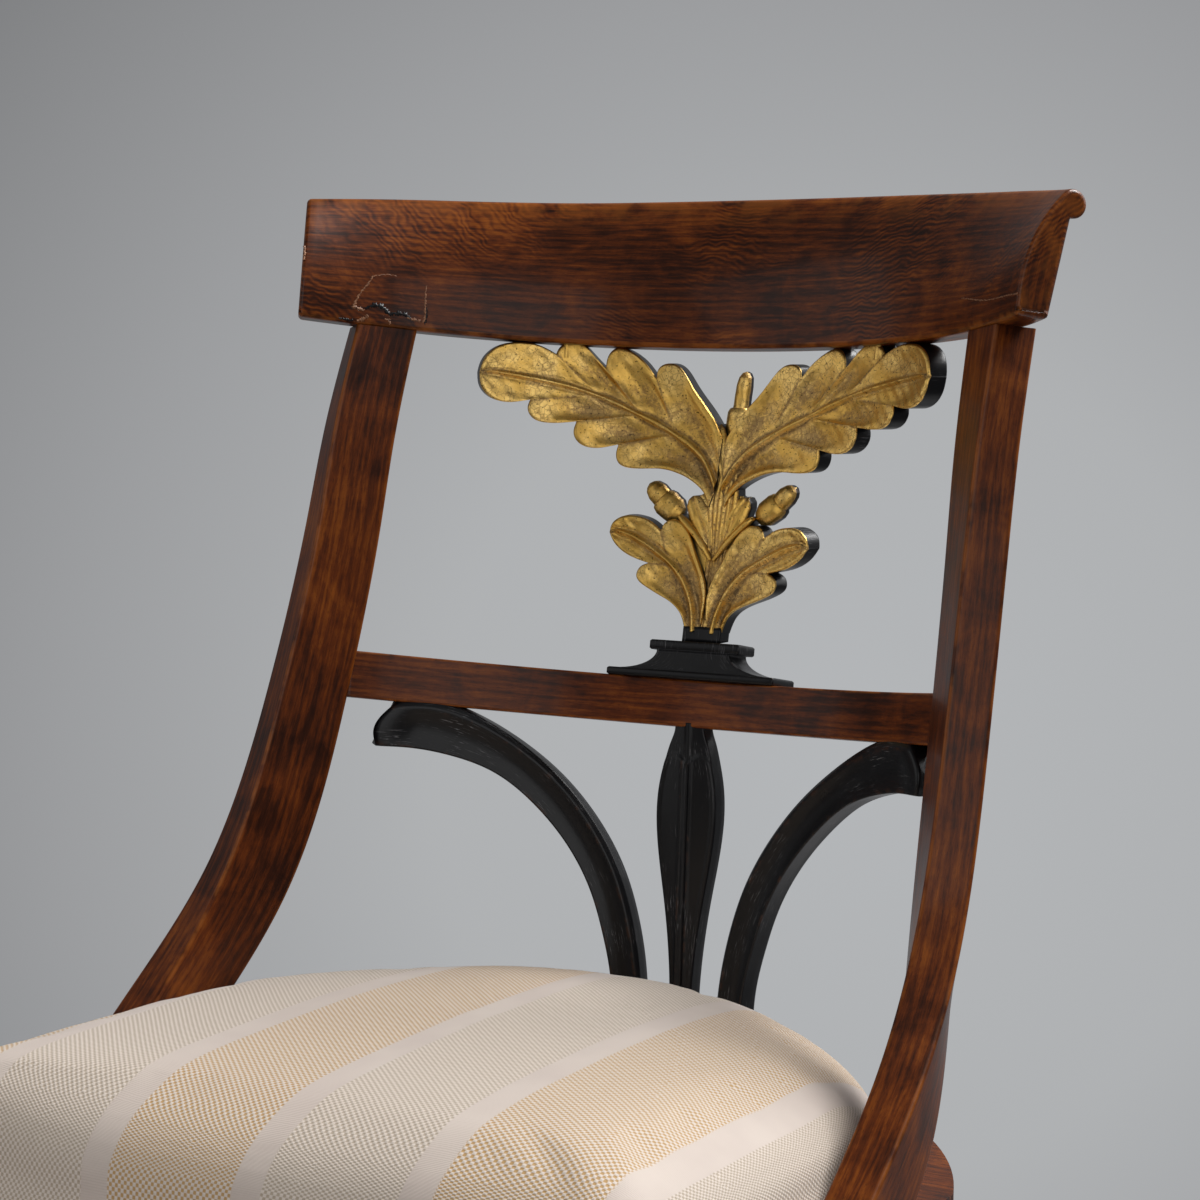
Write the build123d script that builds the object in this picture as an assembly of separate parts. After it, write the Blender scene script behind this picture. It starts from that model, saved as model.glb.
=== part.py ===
from build123d import *
from math import asin, cos, degrees, radians, sin, sqrt, tan
import os

# A side chair with a curved gondola back, in millimetres.
# +Z is up, -Y is the front, X is the width. The origin is on the floor, under the middle of the chair.

# Seat frame
SEAT_RAIL_TOP = 410.0
SEAT_RAIL_HEIGHT = 60.0
SEAT_WIDTH = 452.0
SIDE_RAIL_THICK = 23.0
FRONT_RAIL_THICK = 23.0
REAR_RAIL_THICK = 32.0
REAR_CORNER_EASE = 2.0
SEAT_INNER_DEPTH = 408.0

# Back frame
BACK_HEIGHT = 405.0
TOP_RAIL_RADIUS = 255.0
TOP_RAIL_HALF_ANGLE = 57.0
TOP_RAIL_RAKE = 8.0
TOP_RAIL_THICK = 18.0
TOP_RAIL_CENTRE_HEIGHT = 92.0
TOP_RAIL_END_HEIGHT = 69.0
TOP_RAIL_FLARE = 23.0
LIP_RADIUS = 7.5
BACK_TO_SEAT = 74.0
MIDDLE_RAIL_RADIUS = 237.0
MIDDLE_RAIL_THICK = 20.0
MIDDLE_RAIL_HEIGHT = 27.0
MIDDLE_RAIL_RAKE = 10.0
MIDDLE_RAIL_DROP = 189.0
MIDDLE_RAIL_FORWARD = 45.0

# Stiles: a flat strip that turns from the back's curve into the line of the side rail
STILE_TOP_WIDTH = 36.0
STILE_FOOT_WIDTH = 46.0
STILE_ANGLE = 46.0
STILE_FOOT_RUN = 150.0
STILE_FOOT_DIP = 2.0
STILE_TENON = (24.0, 9.0, 28.0)
STILE_TENON_SETBACK = 6.0
# Each station: share of the fall, of the spread, of the reach forward and of the turn
STILE_STATIONS = (
    (0.000, 0.00, 0.000, 0.00),
    (0.138, 0.04, 0.070, 0.14),
    (0.252, 0.08, 0.112, 0.21),
    (0.477, 0.26, 0.212, 0.30),
    (0.706, 0.60, 0.360, 0.54),
    (0.856, 1.00, 0.551, 0.90),
    (0.930, 1.00, 0.688, 0.99),
    (0.992, 1.00, 0.850, 1.00),
    (1.000, 1.00, 1.000, 1.00),
)

# Legs
LEG_BLOCK = 38.0
FRONT_TOE = 27.0
FRONT_LEG_SWEEP = 25.0
REAR_LEG_TOP = (34.0, 30.0)
REAR_TOE = 26.0
REAR_LEG_SWEEP = 88.0
REAR_LEG_ANGLE = 35.0
REAR_LEG_TENON = (22.0, 14.0, 30.0)
LEG_STEPS = 6
GLIDE_THICK = 3.0
GLIDE_RADIUS = 10.0

# Splat below the middle rail
SPLAT_RADIUS = 237.0
SPLAT_THICK = 15.0
SPLAT_SETBACK = 2.0
SPLAT_LEAN = 0.055
ARM_TIP = 165.0
ARM_TIP_DEPTH = 16.0
ARM_HEEL = 12.0
ARM_SHOULDER = 7.0
ARM_NECK = 118.0
ARM_FOOT_INNER = 24.0
ARM_FOOT_OUTER = 41.0
LANCET_TOP_HALF = 9.0
LANCET_HALF = 18.5
LANCET_FOOT_HALF = 7.0

# Carving and plinth above the middle rail
CARVING_RADIUS = 225.0
CARVING_THICK = 14.0
CARVING_SETBACK = 8.0
CARVING_LEAN = 0.235
ACORN = (14.0, 8.0)
PLINTH_BASE = (106.0, 30.0, 4.5)
PLINTH_WAIST_WIDTH = 46.0
PLINTH_WAIST_HEIGHT = 13.0
PLINTH_SLAB = (51.0, 22.0, 4.5)
PLINTH_BACK_STEP = 3.0

# Loose seat
SEAT_CLEARANCE = 2.0
SEAT_REST_GAP = 0.3
SEAT_BAR_WIDTH = 45.0
SEAT_BAR_THICK = 18.0
COVER_THICK = 1.2
WADDING_THICK = 4.0
COVER_HEM = 16.0
DUST_CLOTH_THICK = 0.6
WEBBING_WIDTH = 48.0
WEBBING_THICK = 1.5
WEBBING_COUNT = 3
HESSIAN_THICK = 0.8
CROWN_HEIGHT = 73.0
CROWN_SHOULDER_DROP = 8.0
CROWN_SHOULDER_INSET = 13.0
CROWN_OVERLAP = 4.0
LEDGER = 16.0
LEDGER_REAR_ANGLE = 40.0
CORNER_BLOCK = 52.0
CORNER_BLOCK_HEIGHT = 32.0

# Pegs, dowels, screws and tacks
DOWEL_RADIUS = 4.0
DOWEL_LENGTH = 34.0
PIN_RADIUS = 2.5
PIN_LENGTH = 16.0
HOLE_CLEARANCE = 0.1
TENON_PEG_RADIUS = 4.5
TENON_PEG_LENGTH = 16.0
TENON_PEG_HEIGHT = 9.0
SCREW_RADIUS = 2.0
SCREW_HEAD_RADIUS = 4.0
SCREW_HEAD_THICK = 2.0
SCREW_BITE = 14.0
TACK_RADIUS = 0.8
TACK_HEAD_RADIUS = 3.0
TACK_HEAD_THICK = 0.8
TACK_LENGTH = 6.0
TACK_PITCH = 62.0

# Levels and lines worked out from the sizes above
SEAT_RAIL_BASE = SEAT_RAIL_TOP - SEAT_RAIL_HEIGHT
TOP_RAIL_BASE = SEAT_RAIL_TOP + BACK_HEIGHT
LIP_OUT = TOP_RAIL_FLARE + 0.75 * LIP_RADIUS
LIP_UP = TOP_RAIL_CENTRE_HEIGHT - LIP_RADIUS
REAR_OVERHANG = (LIP_OUT * cos(radians(TOP_RAIL_RAKE)) + LIP_UP * sin(radians(TOP_RAIL_RAKE))
                 + LIP_RADIUS)
FRONT_REACH = BACK_TO_SEAT + SEAT_INNER_DEPTH + FRONT_RAIL_THICK
DEPTH = REAR_OVERHANG + FRONT_REACH + FRONT_LEG_SWEEP
BACK_Y = DEPTH / 2 - REAR_OVERHANG
FRONT_Y = BACK_Y - FRONT_REACH
SEAT_REAR_Y = BACK_Y - BACK_TO_SEAT
SEAT_FRONT_Y = FRONT_Y + FRONT_RAIL_THICK
SEAT_HALF = SEAT_WIDTH / 2 - SIDE_RAIL_THICK
REAR_RAIL_RADIUS = SEAT_HALF + REAR_CORNER_EASE
SEAT_CENTRE_Y = SEAT_REAR_Y - REAR_RAIL_RADIUS
CORNER_Y = SEAT_CENTRE_Y + sqrt(REAR_RAIL_RADIUS ** 2 - SEAT_HALF ** 2)
LEG_BACK_Y = FRONT_Y + LEG_BLOCK
DUST_CLOTH_Z = SEAT_RAIL_TOP - SEAT_BAR_THICK - 2 * COVER_THICK - DUST_CLOTH_THICK
LEDGER_TOP = DUST_CLOTH_Z - SEAT_REST_GAP
HEM_Z = DUST_CLOTH_Z + DUST_CLOTH_THICK
BAR_Z = HEM_Z + COVER_THICK
WEBBING_Z = BAR_Z + SEAT_BAR_THICK
HESSIAN_Z = WEBBING_Z + 2 * WEBBING_THICK
PAD_Z = HESSIAN_Z + HESSIAN_THICK
MIDDLE_RAIL_TOP = TOP_RAIL_BASE - MIDDLE_RAIL_DROP
MIDDLE_RAIL_BASE = MIDDLE_RAIL_TOP - MIDDLE_RAIL_HEIGHT
SPLAT_HEIGHT = MIDDLE_RAIL_BASE - SEAT_RAIL_TOP
BIG = 4 * SEAT_WIDTH

TOP_RAIL_FRAME = Pos(0, BACK_Y, TOP_RAIL_BASE) * Rot(-TOP_RAIL_RAKE, 0, 0)
MIDDLE_RAIL_FRAME = Pos(0, BACK_Y - MIDDLE_RAIL_FORWARD, MIDDLE_RAIL_BASE) * Rot(-MIDDLE_RAIL_RAKE, 0, 0)


def mirrored(shape):
    """The same piece on the other side of the chair."""
    return mirror(shape, about=Plane.YZ)


def arc_face(radius, thick, half_angle):
    """Flat curved strip, concave to the front, with the middle of its front edge at the origin."""

    def point(distance, angle):
        return distance * sin(radians(angle)), distance * cos(radians(angle)) - radius

    outer = radius + thick
    return make_face(
        ThreePointArc(point(radius, -half_angle), point(radius, 0), point(radius, half_angle))
        + Line(point(radius, half_angle), point(outer, half_angle))
        + ThreePointArc(point(outer, half_angle), point(outer, 0), point(outer, -half_angle))
        + Line(point(outer, -half_angle), point(radius, -half_angle))
    )


def leaning_wall(radius, thick, half_angle, front_y, base, height, lean):
    """Curved wall that leans back as it rises."""
    face = Pos(0, front_y, base) * arc_face(radius, thick, half_angle)
    return extrude(face, amount=height, dir=(0, lean, 1))


def above(level):
    """Everything higher than a level."""
    return Pos(0, 0, level) * Box(BIG, BIG, BIG, align=(Align.CENTER, Align.CENTER, Align.MIN))


def through_y(face_xz):
    """Run an outline drawn in X and Z through the whole depth."""
    return extrude(Plane.XZ * face_xz, amount=BIG, both=True)


def peg(start, direction, length, radius):
    """Round peg whose middle is at a point, along a direction."""
    axis = Vector(direction).normalized()
    plane = Plane(origin=Vector(start) - axis * (length / 2), z_dir=axis)
    return plane * Cylinder(radius, length, align=(Align.CENTER, Align.CENTER, Align.MIN))


def pegged(pieces, pegs, radius, length):
    """Drill each piece for the pegs that reach it.

    Pegs are (middle, direction) pairs. Returns the drilled pieces and the pegs as a group.
    """
    drilled = list(pieces)
    for middle, way in pegs:
        hole = peg(middle, way, length + 2 * HOLE_CLEARANCE, radius + HOLE_CLEARANCE)
        drilled = [piece - hole for piece in drilled]
    return drilled, Compound([peg(middle, way, length, radius) for middle, way in pegs])


def largest(shape):
    """The main body of a trimmed piece, without its offcuts."""
    return Part() + max(shape.solids(), key=lambda solid: solid.volume)


def top_rail():
    """Curved crest rail: a concave board that flares back to a rolled lip."""
    sections = []
    end_fall = 1 - cos(radians(TOP_RAIL_HALF_ANGLE))
    for share in (-1.0, -0.66, -0.33, 0.0, 0.33, 0.66, 1.0):
        angle = share * TOP_RAIL_HALF_ANGLE
        fall = (1 - cos(radians(angle))) / end_fall
        height = TOP_RAIL_CENTRE_HEIGHT + (TOP_RAIL_END_HEIGHT - TOP_RAIL_CENTRE_HEIGHT) * fall
        outward = (sin(radians(angle)), cos(radians(angle)), 0)
        start = (TOP_RAIL_RADIUS * outward[0], TOP_RAIL_RADIUS * (outward[1] - 1), 0)
        side = (outward[1], -outward[0], 0)
        plane = Plane(origin=start, x_dir=outward, z_dir=side)
        lip = Vector(LIP_OUT, height - LIP_RADIUS)
        lip_start = lip + Vector(-LIP_RADIUS * sin(radians(45)), LIP_RADIUS * sin(radians(45)))
        lip_end = lip + Vector(-LIP_RADIUS * sin(radians(10)), -LIP_RADIUS * cos(radians(10)))
        profile = (
            ThreePointArc((0, 0), (TOP_RAIL_FLARE * 0.2, height * 0.5), lip_start)
            + ThreePointArc(lip_start, lip + Vector(LIP_RADIUS, 0), lip_end)
            + Line(lip_end, (TOP_RAIL_THICK, 0))
            + Line((TOP_RAIL_THICK, 0), (0, 0))
        )
        sections.append(plane * make_face(profile))
    return TOP_RAIL_FRAME * loft(sections)


def stile_tenon():
    """Tenon of the right stile, standing on the underside of the top rail."""
    width, thick, length = STILE_TENON
    place = Rot(0, 0, -STILE_ANGLE) * Pos(0, TOP_RAIL_RADIUS + STILE_TENON_SETBACK + thick / 2, 0)
    block = Box(width, thick, length, align=(Align.CENTER, Align.CENTER, Align.MIN))
    return TOP_RAIL_FRAME * Pos(0, -TOP_RAIL_RADIUS, 0) * place * block


def stile():
    """Right stile: a strip that turns forward and sweeps down onto the side rail."""
    local_top = Vector(TOP_RAIL_RADIUS * sin(radians(STILE_ANGLE)),
                       TOP_RAIL_RADIUS * (cos(radians(STILE_ANGLE)) - 1), 0)
    top = (TOP_RAIL_FRAME * Pos(*local_top)).position
    foot = Vector(SEAT_HALF, CORNER_Y - STILE_FOOT_RUN,
                  SEAT_RAIL_TOP - STILE_FOOT_WIDTH / 2 - STILE_FOOT_DIP)
    points = [
        Vector(top.X + (foot.X - top.X) * spread, top.Y + (foot.Y - top.Y) * reach,
               top.Z + (foot.Z - top.Z) * fall)
        for fall, spread, reach, _ in STILE_STATIONS
    ]
    sections = []
    last = len(points) - 1
    for index, (fall, _, _, turn) in enumerate(STILE_STATIONS):
        way = points[min(index + 1, last)] - points[max(index - 1, 0)]
        if index == 0:
            way = Vector(0, -sin(radians(TOP_RAIL_RAKE)), -cos(radians(TOP_RAIL_RAKE)))
        if index == last:
            way = Vector(0, -1, 0)
        way = way.normalized()
        angle = radians(STILE_ANGLE + (90 - STILE_ANGLE) * turn)
        across = Vector(cos(angle), -sin(angle), 0)
        if turn == 1.0:
            across = Vector(0, -sin(radians(1)), 1)
        across = (across - way * across.dot(way)).normalized()
        plane = Plane(origin=points[index], x_dir=across, z_dir=way)
        width = STILE_TOP_WIDTH + (STILE_FOOT_WIDTH - STILE_TOP_WIDTH) * fall
        strip = Pos(0, -SIDE_RAIL_THICK / 2) * Rectangle(width, SIDE_RAIL_THICK)
        sections.append(plane * strip)
    return loft(sections) & above(SEAT_RAIL_TOP)


def middle_rail(stiles):
    """Narrow curved rail between the stiles, trimmed where it runs into them."""
    half_angle = degrees(asin((SEAT_HALF - 0.95 * SIDE_RAIL_THICK) / MIDDLE_RAIL_RADIUS))
    rail = extrude(arc_face(MIDDLE_RAIL_RADIUS, MIDDLE_RAIL_THICK, half_angle), amount=MIDDLE_RAIL_HEIGHT)
    return largest(MIDDLE_RAIL_FRAME * rail - stiles)


def plinth():
    """Stepped block on the middle rail: base, hollow-sided waist and top slab."""
    base_width, base_depth, base_height = PLINTH_BASE
    slab_width, slab_depth, slab_height = PLINTH_SLAB
    corner_fall = MIDDLE_RAIL_RADIUS - sqrt(MIDDLE_RAIL_RADIUS ** 2 - (base_width / 2) ** 2)
    slab_base = base_height + PLINTH_WAIST_HEIGHT
    upright = (Align.CENTER, Align.MIN, Align.MIN)
    base = Box(base_width, base_depth, base_height, align=upright)
    foot_half = base_width / 2 - PLINTH_BACK_STEP
    waist_half = PLINTH_WAIST_WIDTH / 2
    # The hollow leaves the base level and rises to the waist
    run = foot_half - waist_half
    hollow_radius = (run ** 2 + PLINTH_WAIST_HEIGHT ** 2) / (2 * PLINTH_WAIST_HEIGHT)
    half_turn = asin(run / hollow_radius) / 2
    hollow = (foot_half - hollow_radius * sin(half_turn), base_height + hollow_radius * (1 - cos(half_turn)))
    left = ThreePointArc((-foot_half, base_height), (-hollow[0], hollow[1]), (-waist_half, slab_base))
    right = ThreePointArc((waist_half, slab_base), hollow, (foot_half, base_height))
    outline = make_face(
        left + Line((-waist_half, slab_base), (waist_half, slab_base))
        + right + Line((foot_half, base_height), (-foot_half, base_height))
    )
    waist = through_y(outline) & Pos(0, PLINTH_BACK_STEP, 0) * Box(
        base_width, base_depth - 2 * PLINTH_BACK_STEP, BIG, align=(Align.CENTER, Align.MIN, Align.CENTER))
    slab = Box(slab_width, slab_depth, slab_height, align=upright)
    slab_step = (base_depth - slab_depth) / 2
    block = base + waist + Pos(0, slab_step, slab_base) * slab
    return MIDDLE_RAIL_FRAME * Pos(0, -corner_fall, MIDDLE_RAIL_HEIGHT) * block


def carving_outline():
    """Right half of the oak spray: a large and a small lobed leaf, the stem and the acorns.

    Each arc runs from notch to notch through the tip of a lobe. Heights are below the top rail.
    """
    upper = (
        ((0, -40), (29, -13), (47, -17)), ((47, -17), (65, 2), (78, -11)),
        ((78, -11), (96, 5), (106, -4)), ((106, -4), (126, 6), (144, -14)),
        ((144, -14), (138, -28), (117, -31)), ((117, -31), (106, -45), (90, -44)),
        ((90, -44), (81, -58), (65, -57)), ((65, -57), (55, -70), (29, -71)),
    )
    lower = (
        ((18, -103), (26, -99), (34, -105)), ((34, -105), (52, -97), (65, -108)),
        ((65, -108), (61, -120), (42, -125)), ((42, -125), (43, -137), (17, -151)),
    )
    foot = -MIDDLE_RAIL_DROP
    big_leaf = [ThreePointArc(*arc) for arc in upper]
    big_leaf += [Polyline(upper[-1][-1], (18, -84), lower[0][0])]
    small_leaf = [ThreePointArc(*arc) for arc in lower]
    small_leaf += [Polyline(lower[-1][-1], (8, foot), (0, foot), upper[0][0])]
    leaves = make_face(Curve() + big_leaf + small_leaf)
    acorn = Pos(30, -88) * Rot(0, 0, 35) * Ellipse(*ACORN)
    return leaves + acorn + Pos(0, -32) * Ellipse(ACORN[1], ACORN[0])


def plinth_height():
    """Height of the plinth over the middle rail."""
    return PLINTH_BASE[2] + PLINTH_WAIST_HEIGHT + PLINTH_SLAB[2]


def carving():
    """Carved spray of oak leaves and acorns between the top rail and the plinth."""
    half = Pos(0, TOP_RAIL_BASE) * carving_outline()
    outline = half + mirror(half, about=Plane.YZ)
    drop = MIDDLE_RAIL_DROP
    wall = leaning_wall(CARVING_RADIUS, CARVING_THICK, TOP_RAIL_HALF_ANGLE,
                        BACK_Y + CARVING_SETBACK - drop * CARVING_LEAN, TOP_RAIL_BASE - drop,
                        drop + TOP_RAIL_END_HEIGHT / 4, CARVING_LEAN)
    below = Pos(0, 0, MIDDLE_RAIL_HEIGHT + plinth_height()) * Box(
        BIG, BIG, BIG, align=(Align.CENTER, Align.CENTER, Align.MAX))
    return largest((wall & through_y(outline)) - TOP_RAIL_FRAME * above(0) - MIDDLE_RAIL_FRAME * below)


def splat_wall():
    """Curved, slightly leaning sheet that the splat's pieces are cut from."""
    foot_y = BACK_Y - MIDDLE_RAIL_FORWARD - SPLAT_SETBACK - SPLAT_HEIGHT * SPLAT_LEAN
    return leaning_wall(SPLAT_RADIUS, SPLAT_THICK, TOP_RAIL_HALF_ANGLE, foot_y, SEAT_RAIL_TOP,
                        SPLAT_HEIGHT + MIDDLE_RAIL_HEIGHT, SPLAT_LEAN)


def splat_point(x, share):
    """Point of the splat's outline: distance from the middle, and share of the way down."""
    return x, MIDDLE_RAIL_BASE - share * SPLAT_HEIGHT


def splat_arm(wall, rail):
    """Right arm of the splat: a curved horn from the middle rail down to the rear seat rail."""
    tip_low = ARM_TIP_DEPTH / SPLAT_HEIGHT
    under = MIDDLE_RAIL_BASE + MIDDLE_RAIL_HEIGHT * 0.75
    points = {
        "tip_top": (ARM_TIP, MIDDLE_RAIL_BASE + MIDDLE_RAIL_HEIGHT * 0.2),
        "tip_low": splat_point(ARM_TIP, tip_low),
        "heel": splat_point(ARM_TIP - ARM_HEEL, tip_low),
        "lower_mid": splat_point(67, 0.402),
        "lower_foot": splat_point(ARM_FOOT_OUTER, 1.0),
        "upper_foot": splat_point(ARM_FOOT_INNER, 1.0),
        "upper_mid": splat_point(47, 0.376),
        "neck": splat_point(ARM_NECK, -0.02),
    }
    outline = make_face(
        Polyline((ARM_NECK, under), (ARM_TIP - ARM_SHOULDER, under), points["tip_top"], points["tip_low"],
                 points["heel"])
        + ThreePointArc(points["heel"], splat_point(103, 0.201), points["lower_mid"])
        + ThreePointArc(points["lower_mid"], splat_point(50.5, 0.586), points["lower_foot"])
        + Line(points["lower_foot"], points["upper_foot"])
        + ThreePointArc(points["upper_foot"], splat_point(31, 0.590), points["upper_mid"])
        + ThreePointArc(points["upper_mid"], splat_point(78, 0.159), points["neck"])
        + Line(points["neck"], (ARM_NECK, under))
    )
    return (wall & through_y(outline)) - rail


def lancet(wall, rail):
    """Central lancet leaf of the splat."""
    under = (LANCET_TOP_HALF, MIDDLE_RAIL_BASE + MIDDLE_RAIL_HEIGHT * 0.5)
    neck = splat_point(LANCET_TOP_HALF + 1, 0.09)
    belly = splat_point(LANCET_HALF, 0.277)
    foot = splat_point(LANCET_FOOT_HALF, 1.0)
    right = (
        Line((0, under[1]), under) + Line(under, neck)
        + ThreePointArc(neck, splat_point((neck[0] + 2 * LANCET_HALF) / 3, 0.18), belly)
        + ThreePointArc(belly, splat_point(LANCET_HALF * 0.55 + LANCET_FOOT_HALF * 0.45, 0.59), foot)
        + Line(foot, (0, foot[1])) + Line((0, foot[1]), (0, under[1]))
    )
    half = make_face(right)
    return (wall & through_y(half + mirror(half, about=Plane.YZ))) - rail


def rear_seat_rail():
    """Curved rear seat rail, cut to meet the side rails."""
    ring = extrude(arc_face(REAR_RAIL_RADIUS, REAR_RAIL_THICK, 89), amount=SEAT_RAIL_HEIGHT)
    ring = Pos(0, SEAT_REAR_Y, SEAT_RAIL_BASE) * ring
    keep = Box(SEAT_WIDTH, BIG, BIG, align=(Align.CENTER, Align.MIN, Align.CENTER))
    return ring & Pos(0, CORNER_Y, 0) * keep


def side_rail():
    """Right side rail."""
    corner = (Align.MIN, Align.MIN, Align.MIN)
    rail = Box(SIDE_RAIL_THICK, CORNER_Y - LEG_BACK_Y, SEAT_RAIL_HEIGHT, align=corner)
    return Pos(SEAT_HALF, LEG_BACK_Y, SEAT_RAIL_BASE) * rail


def front_rail():
    """Front rail between the front legs."""
    rail = Box(SEAT_WIDTH - 2 * LEG_BLOCK, FRONT_RAIL_THICK, SEAT_RAIL_HEIGHT,
               align=(Align.CENTER, Align.MIN, Align.MIN))
    return Pos(0, FRONT_Y, SEAT_RAIL_BASE) * rail


def seat_outline(inset):
    """Outline of the seat opening: straight front and sides, round rear."""
    half = SEAT_HALF - inset
    front = SEAT_FRONT_Y + inset
    radius = REAR_RAIL_RADIUS - inset
    corner = SEAT_CENTRE_Y + sqrt(radius ** 2 - half ** 2)
    return make_face(
        Polyline((-half, corner), (-half, front), (half, front), (half, corner))
        + ThreePointArc((half, corner), (0, SEAT_CENTRE_Y + radius), (-half, corner))
    )


def seat_slab(inset, base, height):
    """Flat slab of the seat's outline."""
    return extrude(Pos(0, 0, base) * seat_outline(inset), amount=height)


def front_leg():
    """Right front leg: a square block at the seat and a sabre leg that sweeps forward."""
    right = SEAT_WIDTH / 2
    sections = []
    for step in range(LEG_STEPS + 1):
        share = step / LEG_STEPS
        size = LEG_BLOCK + (FRONT_TOE - LEG_BLOCK) * share
        front = FRONT_Y - FRONT_LEG_SWEEP * share ** 2
        height = SEAT_RAIL_BASE + (GLIDE_THICK - SEAT_RAIL_BASE) * share
        middle_x = right - LEG_BLOCK / 2
        sections.append(Pos(middle_x, front + size / 2, height) * Rectangle(size, size))
    block = Box(LEG_BLOCK, LEG_BLOCK, SEAT_RAIL_HEIGHT, align=(Align.MAX, Align.MIN, Align.MIN))
    leg = loft(sections) + Pos(right, FRONT_Y, SEAT_RAIL_BASE) * block
    return leg - seat_slab(0, LEDGER_TOP, SEAT_RAIL_HEIGHT)


def rear_leg():
    """Right rear leg: a sabre leg under the rear rail that sweeps back and outward."""
    width, depth = REAR_LEG_TOP
    middle = REAR_RAIL_RADIUS + REAR_RAIL_THICK / 2
    spoke = Pos(0, SEAT_CENTRE_Y, 0) * Rot(0, 0, -REAR_LEG_ANGLE)
    sections = []
    for step in range(LEG_STEPS + 1):
        share = step / LEG_STEPS
        out = middle + REAR_LEG_SWEEP * share ** 2
        height = SEAT_RAIL_BASE + (GLIDE_THICK - SEAT_RAIL_BASE) * share
        size_x = width + (REAR_TOE - width) * share
        size_y = depth + (REAR_TOE - depth) * share
        sections.append(spoke * Pos(0, out, height) * Rectangle(size_x, size_y))
    return loft(sections) + rear_leg_tenon()


def rear_leg_tenon():
    """Tenon of the right rear leg, in the rear rail."""
    spoke = Pos(0, SEAT_CENTRE_Y, 0) * Rot(0, 0, -REAR_LEG_ANGLE)
    place = spoke * Pos(0, REAR_RAIL_RADIUS + REAR_RAIL_THICK / 2, SEAT_RAIL_BASE)
    return place * Box(*REAR_LEG_TENON, align=(Align.CENTER, Align.CENTER, Align.MIN))


def glide_spots():
    """Middle of the foot of each right leg."""
    front = (SEAT_WIDTH / 2 - LEG_BLOCK / 2, FRONT_Y - FRONT_LEG_SWEEP + FRONT_TOE / 2)
    out = REAR_RAIL_RADIUS + REAR_RAIL_THICK / 2 + REAR_LEG_SWEEP
    angle = radians(REAR_LEG_ANGLE)
    rear = (out * sin(angle), SEAT_CENTRE_Y + out * cos(angle))
    return front, rear


def corner_block(leg):
    """Three-cornered glue block in the right front corner, under the loose seat."""
    corner = (SEAT_HALF, SEAT_FRONT_Y)
    inward = (SEAT_HALF - CORNER_BLOCK, SEAT_FRONT_Y)
    backward = (SEAT_HALF, SEAT_FRONT_Y + CORNER_BLOCK)
    outline = Polyline(corner, inward, backward, close=True)
    base = LEDGER_TOP - CORNER_BLOCK_HEIGHT
    return extrude(Pos(0, 0, base) * make_face(outline), amount=CORNER_BLOCK_HEIGHT) - leg


def side_ledger_span():
    """Front and rear ends of a side ledger."""
    return SEAT_FRONT_Y + CORNER_BLOCK + LEDGER / 2, CORNER_Y - LEDGER


def front_ledger_half():
    """Half length of the front ledger."""
    return SEAT_HALF - CORNER_BLOCK - LEDGER / 2


def ledgers():
    """Strips that the loose seat rests on: left, right, front and rear."""
    low = (Align.MIN, Align.MIN, Align.MAX)
    front, rear = side_ledger_span()
    right = Pos(SEAT_HALF - LEDGER, front, LEDGER_TOP) * Box(LEDGER, rear - front, LEDGER, align=low)
    length = 2 * front_ledger_half()
    centred = (Align.CENTER, Align.MIN, Align.MAX)
    ahead = Pos(0, SEAT_FRONT_Y, LEDGER_TOP) * Box(length, LEDGER, LEDGER, align=centred)
    ring = extrude(arc_face(REAR_RAIL_RADIUS - LEDGER, LEDGER, LEDGER_REAR_ANGLE), amount=LEDGER)
    behind = Pos(0, SEAT_REAR_Y - LEDGER, LEDGER_TOP - LEDGER) * ring
    return {
        "left_ledger": mirrored(right), "right_ledger": right,
        "front_ledger": ahead, "rear_ledger": behind,
    }


def screw(head, direction):
    """Countersunk-style wood screw: a flat head on the surface and a shank into the wood."""
    axis = Vector(direction).normalized()
    plane = Plane(origin=Vector(head) - axis * SCREW_HEAD_THICK, z_dir=axis)
    up = (Align.CENTER, Align.CENTER, Align.MIN)
    shank = Cylinder(SCREW_RADIUS, SCREW_HEAD_THICK + LEDGER + SCREW_BITE, align=up)
    return plane * (Cylinder(SCREW_HEAD_RADIUS, SCREW_HEAD_THICK, align=up) + shank)


def ledger_screws():
    """Three screws through each straight ledger and two through the curved one."""
    height = LEDGER_TOP - LEDGER / 2
    front, rear = side_ledger_span()
    screws = []
    for share in (0.15, 0.5, 0.85):
        along = front + (rear - front) * share
        screws.append(screw((SEAT_HALF - LEDGER, along, height), (1, 0, 0)))
        screws.append(screw((LEDGER - SEAT_HALF, along, height), (-1, 0, 0)))
        across = front_ledger_half() * (2 * share - 1)
        screws.append(screw((across, SEAT_FRONT_Y + LEDGER, height), (0, -1, 0)))
    for angle in (-LEDGER_REAR_ANGLE / 2, LEDGER_REAR_ANGLE / 2):
        way = (sin(radians(angle)), cos(radians(angle)), 0)
        distance = REAR_RAIL_RADIUS - LEDGER
        head = (distance * way[0], SEAT_CENTRE_Y + distance * way[1], height)
        screws.append(screw(head, way))
    return Compound(screws)


def corner_screws():
    """Two screws through each glue block, into the front leg."""
    screws = []
    face = Vector(SEAT_HALF - CORNER_BLOCK / 2, SEAT_FRONT_Y + CORNER_BLOCK / 2, 0)
    for side in (1, -1):
        for share in (0.3, 0.7):
            height = LEDGER_TOP - CORNER_BLOCK_HEIGHT * share
            screws.append(screw((side * face.X, face.Y, height), (side, -1, 0)))
    return Compound(screws)


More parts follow.
